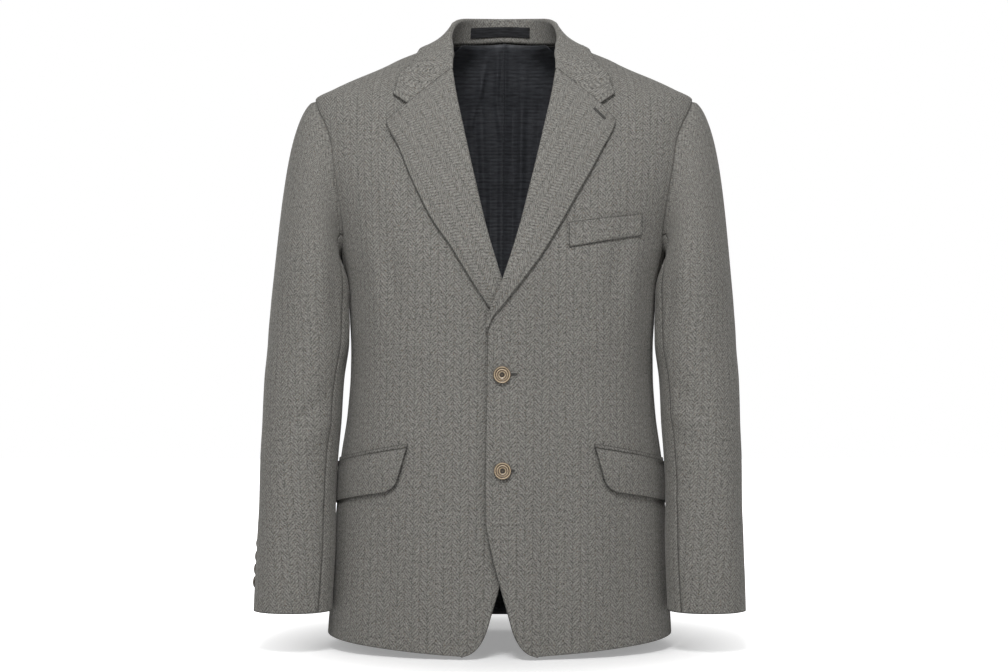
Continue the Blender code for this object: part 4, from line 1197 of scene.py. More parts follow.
def sleeve_grid(places, start, end):
    """Turn and depth over one of a sleeve's pieces, between the turns start(depth) and end(depth)."""
    cap = CAP_DEPTH * np.arange(CAP_STEPS) / CAP_STEPS
    depth = np.concatenate([cap, CAP_DEPTH + (1 - CAP_DEPTH) * SLEEVE_STEPS])
    depth = finer(depth, FINE)[::-1, None]
    places = finer(places, FINE)
    at_armhole = (places - places[0]) / (places[-1] - places[0])
    even = np.linspace(0, 1, len(places))
    share = at_armhole + (even - at_armhole) * np.clip(depth / CAP_DEPTH, 0, 1)
    first, last = start(depth), end(depth)
    return joined(first + (last - first) * share, depth + 0 * share)


def tucked(turn, below):
    """Points of the armhole's seam allowance: under the body's cloth, a little way in from the armhole."""
    angle, level = armhole_at(turn)
    sideways = (angle - ARMHOLE_MIDDLE[0]) * math.radians(1) * ARMHOLE_OUT
    away = unit(joined(sideways, level - ARMHOLE_MIDDLE[1])) * TUCK
    there = angle + np.degrees(away[..., 0] / ARMHOLE_OUT), level + away[..., 1]
    moved = np.linalg.norm(on_body(*there) - on_body(angle, level), axis=-1)
    share = TUCK / moved
    return body(angle + (there[0] - angle) * share, level + (there[1] - level) * share, below)


def add_sleeve_piece(node, side, places, start, end):
    """One of a sleeve's two pieces, its top edge tucked under the body's cloth."""
    grid = with_border_lines(sleeve_grid(places, start, end))
    turn, depth = grid[..., 0], np.clip(grid[..., 1], 0, 1)
    angle, level = armhole_at(turn)
    settle = 1 - ease(depth / 0.08)
    lift = sleeve_lift(side, turn, depth) + body_lift(side, angle, level) * settle
    sink = groove(on_sleeve(turn, depth), ("left", "right"))
    under = (CLOTH + TUCK_GAP) * (1 - ease(depth / 0.012))
    face = sleeve(turn, depth, lift - sink - under)
    back = sleeve(turn, depth, lift - CLOTH - under)
    last = lift[-1] - CLOTH - TUCK_GAP
    face = np.concatenate([face, tucked(turn[-1], last)[None]])
    back = np.concatenate([back, tucked(turn[-1], last - CLOTH)[None]])
    run = rows_length(face)
    middle = run.shape[1] // 2
    cloth_map = joined(run - run[:, middle:middle + 1], columns_length(face))
    return add_shell(node, face, back, side, cloth_map, [wool, lining])


for side in SIDES:
    top_piece = add_sleeve_piece(
        "top_sleeve_" + side, side, TOP_PLACES,
        lambda depth: FOREARM_SEAM + SLEEVE_SEAM_GAP + 0 * depth,
        lambda depth: elbow_seam(depth, side) - SLEEVE_SEAM_GAP,
    )
    under_piece = add_sleeve_piece(
        "under_sleeve_" + side, side, UNDER_PLACES,
        lambda depth: elbow_seam(depth, side) + SLEEVE_SEAM_GAP,
        lambda depth: FOREARM_SEAM + 360.0 - SLEEVE_SEAM_GAP + 0 * depth,
    )
    print(side, "sleeve: %.4f and %.4f square metres" % (cloth_area(top_piece), cloth_area(under_piece)))


# %% [markdown]
# ## Lapels
# A lapel is not a separate flap: it is the front's own facing, rolled over at the chest. Canvas inside it
# keeps the roll round and springy, and the roll is pressed flatter as it nears the top button. The grain
# runs along the lapel's outer edge, so its herringbone slants against the front's.

# %% Lapels
BREAK = -0.3350         # level where the lapels start to roll
GORGE_TOP = -0.0232     # level where the gorge seam meets the roll line
NOTCH = (0.1161, -0.0664)
SEAM = 0.0003
LAPEL_LIFT = 0.0046
LAPEL_GRAIN = math.radians(27)
PRESSED, RISEN = 0.55, 0.45     # shares of its lift: pressed flat where the roll starts, and gained above it
LAPEL_SPRING = 0.0012   # how far its middle stands out between the roll and the outer edge
CURL_STEPS = 10
LAPEL_EDGE = table("level over under", [
    (-0.3350, -0.0150, -0.0120),
    (-0.3227, -0.0110, 0.0060),
    (-0.3121, -0.0020, 0.0145),
    (-0.2980, 0.0090, 0.0240),
    (-0.2780, 0.0245, 0.0370),
    (-0.2413, 0.0510, 0.0597),
    (-0.2080, 0.0703, 0.0827),
    (-0.1780, 0.0868, 0.0985),
    (-0.1527, 0.1016, 0.1107),
    (-0.1193, 0.1190, 0.1247),
    (-0.0965, 0.1310, 0.1375),
    (-0.0870, 0.1340, 0.1410),
])
LAPEL_SHARES = [0, 0.03, 0.08, 0.16, 0.26, 0.37, 0.48, 0.59, 0.70, 0.80, 0.90, 1.0]
GORGE_CELLS = 4 * FINE
NOTCH_CELLS = 2 * FINE
GORGE_EDGE_SHADE = 0.25       # the share of the painted edge shade that is kept where the gorge is sewn to the collar


def lapel_lift(level):
    """How far a lapel's face stands off its front: pressed flat where the roll starts."""
    return LAPEL_LIFT * (PRESSED + RISEN * ease((level - BREAK) / 0.06))


def lapel_flat(side):
    """Across and level over a lapel as it lies on the chest, from the roll line to its outer edge."""
    outer = smooth(LAPEL_EDGE, "over" if side == "left" else "under")
    share = finer(LAPEL_SHARES, FINE)
    roll_level = BREAK + (GORGE_TOP - BREAK) * share
    edge_level = BREAK + (LAPEL_EDGE[-1].level - BREAK) * share
    left = joined(edge_across(roll_level), roll_level)
    right = joined(outer(edge_level), edge_level)
    left[0, 0] -= 0.0010
    corner = between(left[-1], NOTCH, GORGE_CELLS)
    top = np.concatenate([corner, between(NOTCH, right[-1], NOTCH_CELLS)[1:]])
    return coons(left, right, between(left[0], right[0], len(top) - 1), top)


def front_lift(side, across, level):
    """body_lift at points given by how far across they lie."""
    return body_lift(side, front_angle(across, level), level)


def add_lapel(side):
    """A lapel on its front, curled under along the roll line, with its own slanted grain."""
    flat = with_end_lines(lapel_flat(side))
    across, level = flat[..., 0], flat[..., 1]
    angle = front_angle(across, level)
    base = body_lift(side, angle, level)
    lift = lapel_lift(level)
    sink = groove(on_body(angle, level), ("top",))
    sink[:, GORGE_CELLS + 1:] = 0
    bow = np.sin(np.pi * np.linspace(0, 1, across.shape[1]))
    spring = LAPEL_SPRING * bow * ease((level - BREAK) / 0.1)
    face = list(np.moveaxis(body(angle, level, base + lift + spring - sink), 1, 0))
    back = list(np.moveaxis(body(angle, level, base + lift + spring - CLOTH), 1, 0))
    run = list(np.moveaxis(rows_length(on_body(angle, level)), 1, 0))
    middle = base[:, 0] + (lift[:, 0] - CLOTH) / 2
    roll_level = level[:, 0]
    for turn in np.radians(np.linspace(90, -90, CURL_STEPS + 1)[1:]):
        for rows, thick in ((face, 0.0), (back, CLOTH)):
            radius = (lift[:, 0] + CLOTH) / 2 - thick
            curl_across = across[:, 0] - SEAM - radius * math.cos(turn)
            out = middle + radius * math.sin(turn)
            rows.insert(0, body(front_angle(curl_across, roll_level), roll_level, out))
        run.insert(0, -(math.pi / 2 - turn) * (lift[:, 0] + CLOTH) / 2)
    run = np.stack(run, 1)
    roll_map = body_map(angle[:, :1], level[:, :1])
    straight, upright = roll_map[..., 0] + run, roll_map[..., 1] + 0 * run
    turned = [
        straight * math.cos(LAPEL_GRAIN) - upright * math.sin(LAPEL_GRAIN),
        straight * math.sin(LAPEL_GRAIN) + upright * math.cos(LAPEL_GRAIN),
    ]
    face, back = np.stack(face, 1), np.stack(back, 1)
    # painted edge shade round the lapel, lighter along the gorge where it is sewn to the collar
    painted_edge_shade = np.ones(face.shape[:2])
    painted_edge_shade[-4:, :CURL_STEPS + GORGE_CELLS] = GORGE_EDGE_SHADE
    return add_shell("lapel_" + side, face, back, side, np.stack(turned, -1), [wool], painted_edge_shade)


for side in SIDES:
    print(side, "lapel: %.4f square metres" % cloth_area(add_lapel(side)))


# %% [markdown]
# ## Collar
# The collar is a folded band. Its stand goes up inside the neck, its fall comes down outside, and the fold
# between them runs on into the lapels' roll lines. At each end it is joined to the lapel along the gorge
# seam and steps out past it, and that step is the notch.

# %% Collar
COLLAR = table("name base fold edge", [
    ("centre_back", (180.0, 0.0285, 0.0010), (0.0000, 0.0860, 0.0594), (180.0, 0.0130)),
    ("back", (155.0, 0.0256, 0.0010), (0.0350, 0.0715, 0.0577), (155.0, 0.0125)),
    ("back_side", (130.0, 0.0225, 0.0010), (0.0530, 0.0415, 0.0532), (130.0, 0.0110)),
    ("shoulder", (105.0, 0.0195, 0.0010), (0.0605, 0.0145, 0.0455), (105.0, 0.0090)),
    ("side_neck", (82.5, 0.0180, 0.0010), (0.0645, -0.0060, 0.0345), (79.0, 0.0025)),
    ("neck_front", (74.0, 0.0155, 0.0010), (0.0663, -0.0215, 0.0185), (72.0, -0.0150)),
    ("roll", (62.0, 0.0040, 0.0080), (0.0660, -0.0395, 0.0010), (70.5, -0.0320)),
    ("gorge", (58.0, -0.0105, 0.0085), (0.0648, -0.0540, -0.0208), (65.0, -0.0531)),
])
COLLAR_TIP = (0.1339, -0.0531)
COLLAR_LIFT = 0.0064
FOLD_RADIUS = 0.0032
FALL_SAG = 0.0040       # how hollow the fall is between its fold and its edge
COLLAR_EASE = 0.7       # how far the weave fans out where the fall is longer than the fold
FOLD_STEPS = 12
STAND_CELLS = 10
NOTCH_SHARE = 0.755     # the notch's place on the collar's end, from the fold to the tip
SIDE_STATIONS = 7
STATION_STEP = 0.05     # stations to each side that give the fold's direction
NEAR_ENDS = np.array([0.05, 0.015])     # extra stations before each end, for its rounded edge
EDGE_SHARE = 0.985      # an extra row near the fall's outer edge
FOOT_IN = 0.3           # how far the stand's foot lies inside the fold, as a share of its radius


def collar_lines(station):
    """Base, fold and edge of the collar at places counted in stations, negative on the wearer's right."""
    base = np.array([body(row.base[0], row.base[1], -row.base[2]) for row in COLLAR])
    fold = np.array([row.fold for row in COLLAR])
    edge = np.array([body(*row.edge, COLLAR_LIFT) for row in COLLAR])
    away = np.abs(np.asarray(station, float))
    k = np.minimum(away.astype(int), len(COLLAR) - 2)
    t = (away - k)[..., None]
    lines = []
    for points in (base, fold, edge):
        mirrored = points[1] * np.array([-1, 1, 1])
        points = np.concatenate([[mirrored], points, [2 * points[-1] - points[-2]]])
        line = curved(points, k, t)
        line[..., 0] *= np.where(np.asarray(station) < 0, -1, 1)
        lines.append(line)
    return lines


def collar_axes(station):
    """Directions at each station: up the stand, away from the neck and down the fall."""
    base, fold, edge = collar_lines(station)
    along = unit(collar_lines(station + STATION_STEP)[1] - collar_lines(station - STATION_STEP)[1])
    up = unit(fold - base)
    return up, unit(np.cross(up, along)), unit(edge - fold)


def clear_of_body(points, lift):
    """The points, those nearer the form than lift moved out to that distance."""
    angle = np.degrees(np.arctan2(points[..., 0], -points[..., 1]))
    skin = body(angle, points[..., 2], lift + 0 * angle)
    inside = np.hypot(points[..., 0], points[..., 1]) < np.hypot(skin[..., 0], skin[..., 1])
    return np.where(inside[..., None], skin, points)


def gorge_line(share):
    """Points of the collar's end at shares of the way from the fold to the tip, past the notch."""
    knots = [0, NOTCH_SHARE, 1]
    start = edge_across(GORGE_TOP)
    across = np.interp(share, knots, [start, NOTCH[0], COLLAR_TIP[0]])
    level = np.interp(share, knots, [GORGE_TOP + 2 * SEAM, NOTCH[1] + 2 * SEAM, COLLAR_TIP[1]])
    lift = front_lift("left", across, level) + LAPEL_LIFT
    return body(front_angle(across, level), level, lift)


def add_collar():
    """The collar: rows up the stand, round the fold and down the fall, its ends laid along the gorge."""
    station = np.linspace(-SIDE_STATIONS, SIDE_STATIONS, 2 * SIDE_STATIONS * FINE + 1)
    extra = SIDE_STATIONS - NEAR_ENDS
    station = np.sort(np.concatenate([station, extra, -extra]))
    base, fold, edge = collar_lines(station)
    up, away, fall = collar_axes(station)
    sweep = np.arctan2((fall * away).sum(-1), (fall * up).sum(-1))[:, None]
    centre = fold - up * FOLD_RADIUS
    to_notch = np.linspace(0, NOTCH_SHARE, 3 * FINE + 1)[1:]
    to_edge = np.linspace(NOTCH_SHARE, 1, FINE + 1)[1:-1]
    fall_shares = np.concatenate([to_notch, to_edge, [EDGE_SHARE, 1]])
    sides = []
    for thick in (0.0, CLOTH):
        radius = FOLD_RADIUS - thick
        foot = base + away * (thick - FOLD_RADIUS * FOOT_IN)
        near = centre - away * radius
        rows = [foot + (near - foot) * share for share in np.arange(STAND_CELLS) / STAND_CELLS]
        for turn in np.linspace(0 * sweep, sweep, FOLD_STEPS + 1):
            rows.append(centre - away * radius * np.cos(turn) + up * radius * np.sin(turn))
        start = rows[-1]
        for share in fall_shares:
            rows.append(start + (edge - start) * share - away * FALL_SAG * math.sin(math.pi * share))
        sides.append(np.stack(rows, 1))
    outside, inside = sides
    rest = slice(STAND_CELLS + FOLD_STEPS + 1, None)
    near_end = ease(np.abs(station) - SIDE_STATIONS + 1)[:, None]
    lift = COLLAR_LIFT + (LAPEL_LIFT - COLLAR_LIFT) * near_end
    outside[:, rest] = clear_of_body(outside[:, rest], lift)
    settle = np.clip(np.abs(station) - SIDE_STATIONS + 1, 0, 1) ** 2
    for end, mirror in ((0, -1), (-1, 1)):
        shift = gorge_line(fall_shares) * np.array([mirror, 1, 1]) - outside[end, rest]
        half = (station * mirror > 0)[:, None, None]
        outside[:, rest] += np.where(half, settle[:, None, None] * shift, 0)
    inside[:, rest] = outside[:, rest] + grid_normals(outside)[:, rest] * CLOTH
    along_cloth = columns_length(outside)
    along_cloth = along_cloth - along_cloth[len(station) // 2]
    at_fold = along_cloth[:, STAND_CELLS:STAND_CELLS + 1]
    down = rows_length(outside)
    cloth_map = joined(at_fold + (along_cloth - at_fold) * COLLAR_EASE, -down)
    # painted edge shade round the collar, lighter at both ends where they are sewn to the lapels
    painted_edge_shade = np.ones(outside.shape[:2])
    sewn_to_lapel = slice(None, STAND_CELLS + FOLD_STEPS + 3 * FINE)
    painted_edge_shade[:4, sewn_to_lapel] = painted_edge_shade[-4:, sewn_to_lapel] = GORGE_EDGE_SHADE
    return add_shell("collar", inside, outside, "left", cloth_map, [wool], painted_edge_shade)


print("collar: %.4f square metres" % cloth_area(add_collar()))


# %% Neck label
LABEL_THICK = 0.0008
LABEL_GAP = 0.0010
LABEL_ENDS = (-1.46, 1.00)      # in stations of the collar; it sits a little off centre
LABEL_SHARES = (0.26, 0.70)     # of the stand's height


def add_neck_label():
    """The bare label across the stand at the centre back."""
    station = np.linspace(*LABEL_ENDS, 6 * FINE + 1)
    base, fold, _ = collar_lines(station)
    up, away, _ = collar_axes(station)
    foot = base - away * FOLD_RADIUS * FOOT_IN
    near = fold - up * FOLD_RADIUS - away * FOLD_RADIUS
    shares = np.linspace(*LABEL_SHARES, FINE + 1)
    back = np.stack([foot + (near - foot) * share for share in shares]) - away * LABEL_GAP
    face = back - away * LABEL_THICK
    run = rows_length(face)
    cloth_map = joined(run - run[:, -1:] / 2, columns_length(face))
    return add_shell("neck_label", face, back, "left", cloth_map, [label_tape])


print("label: %.5f square metres" % cloth_area(add_neck_label()))


# %% [markdown]
# ## Pockets
# The hip pockets are cut into the front, their lips bound with a narrow strip called a jet, and a lined flap
# hangs out of the slit. The breast pocket has no flap: a stiff slanted welt stands up from its lower lip. All
# of them lie on the front and follow its shape.

# %% Pockets
FLAP_ANGLES = (43.5, 92.0)
FLAP_TOP = -0.4773
FLAP_SLOPE = -0.00055           # metres of level for each degree
FLAP_DEPTH = 0.0485
FLAP_SLANT = 0.0125             # how far its front edge leans back
FLAP_CORNER = 0.0160
FLAP_LIFT = 0.0038
FLAP_SETTLES = (56.0, 76.0)      # it lies closer to the body where the sleeve hangs beside it
FLAP_SETTLE = 0.0014
FLAP_BELLY = 0.0014     # how far a flap's middle stands out, and its lower edge
FLAP_EDGE_LIFT = 0.0006
FLAP_OUT = 0.178        # metres from the form's axis to the flaps
JET_LIFT = 0.0018
JET_THICK = 0.0012
JET_WIDTH = 0.0050
WELT_LIFT = 0.0030
WELT_CORNERS = ((0.0779, -0.2400), (0.1650, -0.2243), (0.0779, -0.2105), (0.1661, -0.1980))


def flap_top(angle):
    """Level of a flap's top edge at an angle round the body."""
    return FLAP_TOP + FLAP_SLOPE * (angle - FLAP_ANGLES[0])


def flap_grid():
    """Angle and level over a flap; its front edge leans back and turns a rounded corner."""
    per_degree = math.radians(1) * FLAP_OUT
    slant, corner = FLAP_SLANT / per_degree, FLAP_CORNER / per_degree
    start, end = FLAP_ANGLES
    turn = np.linspace(0, 1, 2 * FINE + 1)[:, None]
    low_corner = np.array([start + slant, flap_top(start + slant) - FLAP_DEPTH])
    on_edge = low_corner + np.array([-slant, FLAP_DEPTH]) * 0.36
    on_hem = low_corner + np.array([corner, FLAP_SLOPE * corner])
    curve = (1 - turn) ** 2 * on_hem + 2 * turn * (1 - turn) * low_corner + turn ** 2 * on_edge
    left = np.concatenate([curve, between(on_edge, (start, flap_top(start)), 3 * FINE)[1:]])
    share = finer(np.linspace(0, 1, 9) ** 1.3, FINE)
    hem_angle = on_hem[0] + (end - on_hem[0]) * share
    bottom = joined(hem_angle, flap_top(hem_angle) - FLAP_DEPTH)
    top_angle = start + (end - start) * share
    top = joined(top_angle, flap_top(top_angle))
    return coons(left, between(bottom[-1], top[-1], len(left) - 1), bottom, top)


def add_pocket(side):
    """A hip pocket's flap and, above it, its jet."""
    grid = with_border_lines(flap_grid())
    angle, level = grid[..., 0], grid[..., 1]
    hang = flap_top(angle) - level
    down = np.clip(hang / FLAP_DEPTH, 0, 1)
    belly = FLAP_BELLY * np.sin(np.pi * down) + FLAP_EDGE_LIFT * hang / FLAP_DEPTH
    beside = ease((angle - FLAP_SETTLES[0]) / (FLAP_SETTLES[1] - FLAP_SETTLES[0]))
    stand = FLAP_LIFT - FLAP_SETTLE * beside * ease(hang / 0.007) + belly * (1 - beside)
    flap = add_panel("pocket_flap_" + side, grid, side, stand, (), lining)
    edge = np.linspace(*FLAP_ANGLES, 8 * FINE + 1)
    rise = np.linspace(SEAM, JET_WIDTH, 5)[:, None]
    grid = joined(edge + 0 * rise, flap_top(edge) + rise)
    jet = add_panel("pocket_jet_" + side, grid, side, JET_LIFT, (), wool, JET_THICK)
    return flap, jet


def welt_grid():
    """Angle and level over the breast welt."""
    low_in, low_out, high_in, high_out = (np.array(corner) for corner in WELT_CORNERS)
    long, high = 8 * FINE, 3 * FINE
    flat = coons(
        between(low_in, high_in, high), between(low_out, high_out, high),
        between(low_in, low_out, long), between(high_in, high_out, long),
    )
    return joined(front_angle(flat[..., 0], flat[..., 1]), flat[..., 1])


for side in SIDES:
    flap, jet = add_pocket(side)
    print(side, "flap and jet: %.5f and %.5f square metres" % (cloth_area(flap), cloth_area(jet)))
grid = with_border_lines(welt_grid())
welt = add_panel("breast_welt", grid, "left", WELT_LIFT, ("bottom",), wool)
print("welt: %.5f square metres" % cloth_area(welt))


# %% [markdown]
# ## Buttons
# Horn buttons are turned from a disc: a raised rim, a groove, a small inner ring and a dished middle with
# four holes. Horn is mottled right through and is darker in the dish; shade is painted into the groove and
# round the outer edge of the rim. Each button is sewn on with a square of thread and stands on a short
# wrapped shank, so that the cloth beneath is not pinched.

# %% Horn and thread
HORN_DARK = (0.022, 0.012, 0.006)
HORN_MIDDLE = (0.070, 0.037, 0.018)
HORN_PALE = (0.560, 0.445, 0.295)
HORN_RING = 0.36        # the innermost pale ring, as a share of the radius, and the step to the next
HORN_RING_STEP = 0.25


def horn_material(name, shade):
    """Mottled horn: pale on the rim and the inner ring, darker in the dish, with painted shade in the groove
    and round the outer edge.
    """
    g = Graph(name)
    reach, _ = g.own_map("turned")
    cloud = g.noise(g.object_point((1.0, 1.0, 2.4)), 190.0, 3.0, 0.6)
    grain = g.noise(g.object_point((3.0, 3.0, 1.0)), 600.0, 2.0)
    # pale rings with darker rings between them; the dark ring that falls in the groove is painted shade
    from_ring = g.math("PINGPONG", g.minus(reach, HORN_RING), HORN_RING_STEP / 2)
    ring = g.minus(1.0, g.spread(from_ring, 0.020, 0.085))
    ring = g.times(ring, g.spread(reach, 0.24, 0.34))
    # painted shade round the outer edge, where the rim turns down
    ring = g.times(ring, g.minus(1.0, g.spread(reach, 0.93, 0.98)))
    tone = g.blend((ring, 0.80), (g.spread(cloud, 0.3, 0.7), 0.20))
    dark, middle, pale = (tuple(c * shade for c in base) for base in (HORN_DARK, HORN_MIDDLE, HORN_PALE))
    colour = g.mix(tone, g.mix(g.spread(reach, 0.20, 0.42), dark, middle), pale)
    colour = g.mix(g.times(g.spread(grain, 0.5, 0.8), 0.25), colour, dark)
    g.bump(cloud, 0.00012, 0.5)
    return g.finish(Base_Color=colour, Roughness=0.34, Coat_Weight=0.25, Coat_Roughness=0.2)


def thread_material(name, dark, light):
    """Twisted sewing thread."""
    g = Graph(name)
    strands = g.noise(g.object_point(), 2400.0, 2.0)
    return g.finish(Base_Color=g.mix(strands, dark, light), Roughness=0.85, Sheen_Weight=0.2)


horn = horn_material("front_horn", 1.0)
# the cuff buttons take the same horn at 0.45 of its brightness: painted shade
cuff_horn = horn_material("cuff_horn", 0.45)
button_thread = thread_material("button_thread", (0.020, 0.016, 0.013), (0.060, 0.048, 0.038))
edge_thread = thread_material("edge_thread", (0.080, 0.077, 0.069), (0.150, 0.146, 0.132))
hole_thread = thread_material("buttonhole_thread", (0.030, 0.029, 0.027), (0.085, 0.082, 0.075))
print("horn and thread materials ready")


# %% Turning a button
BUTTONS = table("kind radius thick sides shank", [
    ("front", 0.0104, 0.0034, 64, 0.0012),
    ("cuff", 0.0071, 0.0026, 40, 0.0008),
])
FRONT_BUTTON, CUFF_BUTTON = BUTTONS
HOLE_PLACE = 0.155      # from the middle, as shares of the button's radius
HOLE_RADIUS = 0.085
HOLE_SIDES = 12
HOLES = ((-1, -1), (1, -1), (1, 1), (-1, 1))
THREAD_SIDES = 8
THREAD_RADIUS = 0.060   # of the thread and of the wrapped shank, as shares of the button's radius
SHANK_RADIUS = 0.14
SHANK_IN = 0.0004       # how far the shank runs into the cloth and into the button
BUTTON_PROFILE = [      # shares of the radius and of the thickness, from the dish over the rim to the back
    (0.00, 0.46), (0.30, 0.48), (0.40, 0.58), (0.48, 0.76), (0.58, 0.76), (0.64, 0.60), (0.74, 0.60),
    (0.80, 0.92), (0.86, 1.00), (0.93, 0.98), (0.985, 0.80), (1.00, 0.55), (0.985, 0.26), (0.90, 0.05),
    (0.70, 0.00), (0.00, 0.00),
]


def rounded(points, times=2):
    """A line of points with its corners cut away, its ends kept."""
    points = np.array(points, float)
    for _ in range(times):
        first, second = points[:-1], points[1:]
        cut = np.stack([0.75 * first + 0.25 * second, 0.25 * first + 0.75 * second], 1).reshape(-1, 2)
        points = np.concatenate([points[:1], cut[1:-1], points[-1:]])
    return points


def new_mesh(name, points, faces, edges=()):
    mesh = bpy.data.meshes.new(name)
    mesh.from_pydata(points, edges, faces)
    return mesh


def tube_faces(rings, sides, first=0):
    """The caps and sides of a closed tube, whose rings of points are numbered on from first."""
    last = first + (rings - 1) * sides
    faces = [tuple(range(first, first + sides))[::-1], tuple(range(last, last + sides))]
    for low in range(first, last, sides):
        for k in range(sides):
            after = (k + 1) % sides
            faces.append((low + k, low + after, low + sides + after, low + sides + k))
    return faces


def turned_mesh(name, profile, radius, thick, sides):
    """A closed mesh turned round the Z axis; its map holds each point's share of the radius."""
    rings = profile[1:-1]
    turns = np.linspace(0, 2 * math.pi, sides, endpoint=False)
    circle = joined(np.cos(turns), np.sin(turns))
    points = [(0, 0, profile[0][1] * thick)]
    for reach, height in rings:
        points += [(x * reach * radius, y * reach * radius, height * thick) for x, y in circle]
    points.append((0, 0, profile[-1][1] * thick))
    faces = []
    for k in range(sides):
        after = (k + 1) % sides
        faces.append((0, 1 + k, 1 + after))
        for ring in range(len(rings) - 1):
            low = 1 + ring * sides
            faces.append((low + k, low + sides + k, low + sides + after, low + after))
        low = 1 + (len(rings) - 1) * sides
        faces.append((low + k, len(points) - 1, low + after))
    mesh = new_mesh(name, points, faces)
    layer = mesh.uv_layers.new(name="turned")
    for loop in mesh.loops:
        x, y, _ = points[loop.vertex_index]
        layer.data[loop.index].uv = (math.hypot(x, y) / radius, 0.5)
    return mesh


def hole_cutter(radius, thick):
    """Four pins, one for each hole of a button."""
    points, faces = [], []
    for x, y in HOLES:
        first = len(points)
        for height in (-thick, 2 * thick):
            for k in range(HOLE_SIDES):
                turn = 2 * math.pi * k / HOLE_SIDES
                px = x * HOLE_PLACE * radius + HOLE_RADIUS * radius * math.cos(turn)
                py = y * HOLE_PLACE * radius + HOLE_RADIUS * radius * math.sin(turn)
                points.append((px, py, height))
        faces += tube_faces(2, HOLE_SIDES, first)
    return new_mesh("hole_pins", points, faces)


def baked(shown, helper):
    """The finished mesh of an object with its modifiers; it and the object that helped it are taken away."""
    mesh = bpy.data.meshes.new_from_object(shown.evaluated_get(bpy.context.evaluated_depsgraph_get()))
    for spare in (shown, helper):
        bpy.data.objects.remove(spare)
    return mesh


def drilled(mesh, pins):
    """The mesh with the pins' shapes cut out of it."""
    button, cutter = add_object("blank", mesh), add_object("pins", pins)
    cut = button.modifiers.new("drill", "BOOLEAN")
    cut.operation = "DIFFERENCE"
    cut.solver = "EXACT"
    cut.object = cutter
    return baked(button, cutter)


def tube_points(path, radius, sides):
    """The rings of points of a tube along a path."""
    path = np.array(path, float)
    run = unit(np.gradient(path, axis=0))
    side = unit(np.cross(run, np.array([0.31, 0.17, 0.93])))
    other = np.cross(run, side)
    turn = np.linspace(0, 2 * math.pi, sides, endpoint=False)
    rings = path[:, None] + radius * (
        np.cos(turn)[None, :, None] * side[:, None] + np.sin(turn)[None, :, None] * other[:, None]
    )
    return rings.reshape(-1, 3).tolist()


def thread_mesh(name, radius, thick, shank):
    """A square of thread over the four holes, and the wrapped shank below the button."""
    corners = [np.array([x, y, 0]) * HOLE_PLACE * radius for x, y in HOLES]
    points, faces, paths = [], [], []
    share = np.linspace(0, 1, 7)[:, None]
    for start, end in zip(corners, corners[1:] + corners[:1]):
        height = thick * (0.30 + 0.26 * np.sin(np.pi * share))
        path = start + (end - start) * share + np.array([0, 0, 1]) * height
        paths.append((path, radius * THREAD_RADIUS))
    path = np.array([[0, 0, height] for height in (-shank - SHANK_IN, -shank / 2, SHANK_IN)])
    paths.append((path, radius * SHANK_RADIUS))
    for path, width in paths:
        faces += tube_faces(len(path), THREAD_SIDES, len(points))
        points += tube_points(path, width, THREAD_SIDES)
    return new_mesh(name, points, faces)


BUTTON_KINDS = {}       # the horn and the thread of each kind, ready to be copied
for kind, radius, thick, sides, shank in BUTTONS:
    blank = turned_mesh(kind + "_blank", rounded(BUTTON_PROFILE), radius, thick, sides)
    body_mesh = drilled(blank, hole_cutter(radius, thick))
    BUTTON_KINDS[kind] = (body_mesh, thread_mesh(kind + "_thread", radius, thick, shank))
    print(kind, "button:", len(body_mesh.polygons), "faces")


# %% Sewing the buttons on
BUTTON_LEVELS = (-0.3905, -0.5035)
BUTTON_ACROSS = (0.0005, 0.0020)
BUTTON_SPINS = (0.75, 0.08)     # radians each is turned on its thread
CUFF_SPIN = 0.9
CUFF_BUTTON_LEVELS = (-0.5975, -0.6126, -0.6277, -0.6428)
CUFF_BUTTONS_BEFORE_SEAM = 11.0
sewn = {}               # pieces that stand for no node of their own, and their slots


def add_button(node, kind, place, ahead, spin, material):
    """A button and its thread at a place, facing ahead, turned by spin radians."""
    turn = Vector(ahead - place).to_track_quat("Z", "Y").to_matrix().to_4x4()
    move = turn @ Euler((0, 0, spin)).to_matrix().to_4x4()
    move.translation = Vector(place)
    for mesh, paint, suffix in zip(BUTTON_KINDS[kind], (material, button_thread), ("_horn", "_thread")):
        mesh = mesh.copy()
        mesh.name = node + suffix
        mesh.transform(move)
        mesh.materials.clear()
        mesh.materials.append(paint)
        mesh.shade_smooth()
        mesh.set_sharp_from_angle(angle=math.radians(40))
        piece = add_object(node + suffix, mesh)
        if suffix == "_horn":
            made[node] = piece
        else:
            sewn[node + suffix] = (piece, "horn" if kind == "front" else "cuff_horn")


for place_name, level, across, spin in zip(("top", "lower"), BUTTON_LEVELS, BUTTON_ACROSS, BUTTON_SPINS):
    angle = front_angle(across, level)
    lift = front_lift("left", across, level)
    place = placed(body(angle, level, lift + FRONT_BUTTON.shank), "left")
    ahead = placed(body(angle, level, lift + 1.0), "left")
    add_button("front_button_" + place_name, "front", place, ahead, spin, horn)
for side in SIDES:
    for count, level in enumerate(CUFF_BUTTON_LEVELS, 1):
        depth = CAP_DEPTH + (1 - CAP_DEPTH) * (SLEEVE[0].level - level) / (SLEEVE[0].level - CUFF)
        turn = elbow_seam(depth, side) - CUFF_BUTTONS_BEFORE_SEAM
        lift = sleeve_lift(side, turn, depth)
        place = placed(sleeve(turn, depth, lift + CUFF_BUTTON.shank), side)
        ahead = placed(sleeve(turn, depth, lift + 1.0), side)
        node = "cuff_button_" + side + "_" + str(count)
        add_button(node, "cuff", place, ahead, CUFF_SPIN * count, cuff_horn)
print("buttons:", sum("button" in node for node in made))


# %% [markdown]
# ## Hand stitches
# A tailor runs a row of tiny pick stitches just inside the edges of the lapels, collar, fronts, flaps and
# welt, to hold the layers flat. The rows follow paths on the finished faces, and a small node group sets one
# stitch after another along each path, so that their spacing stays even round every corner.

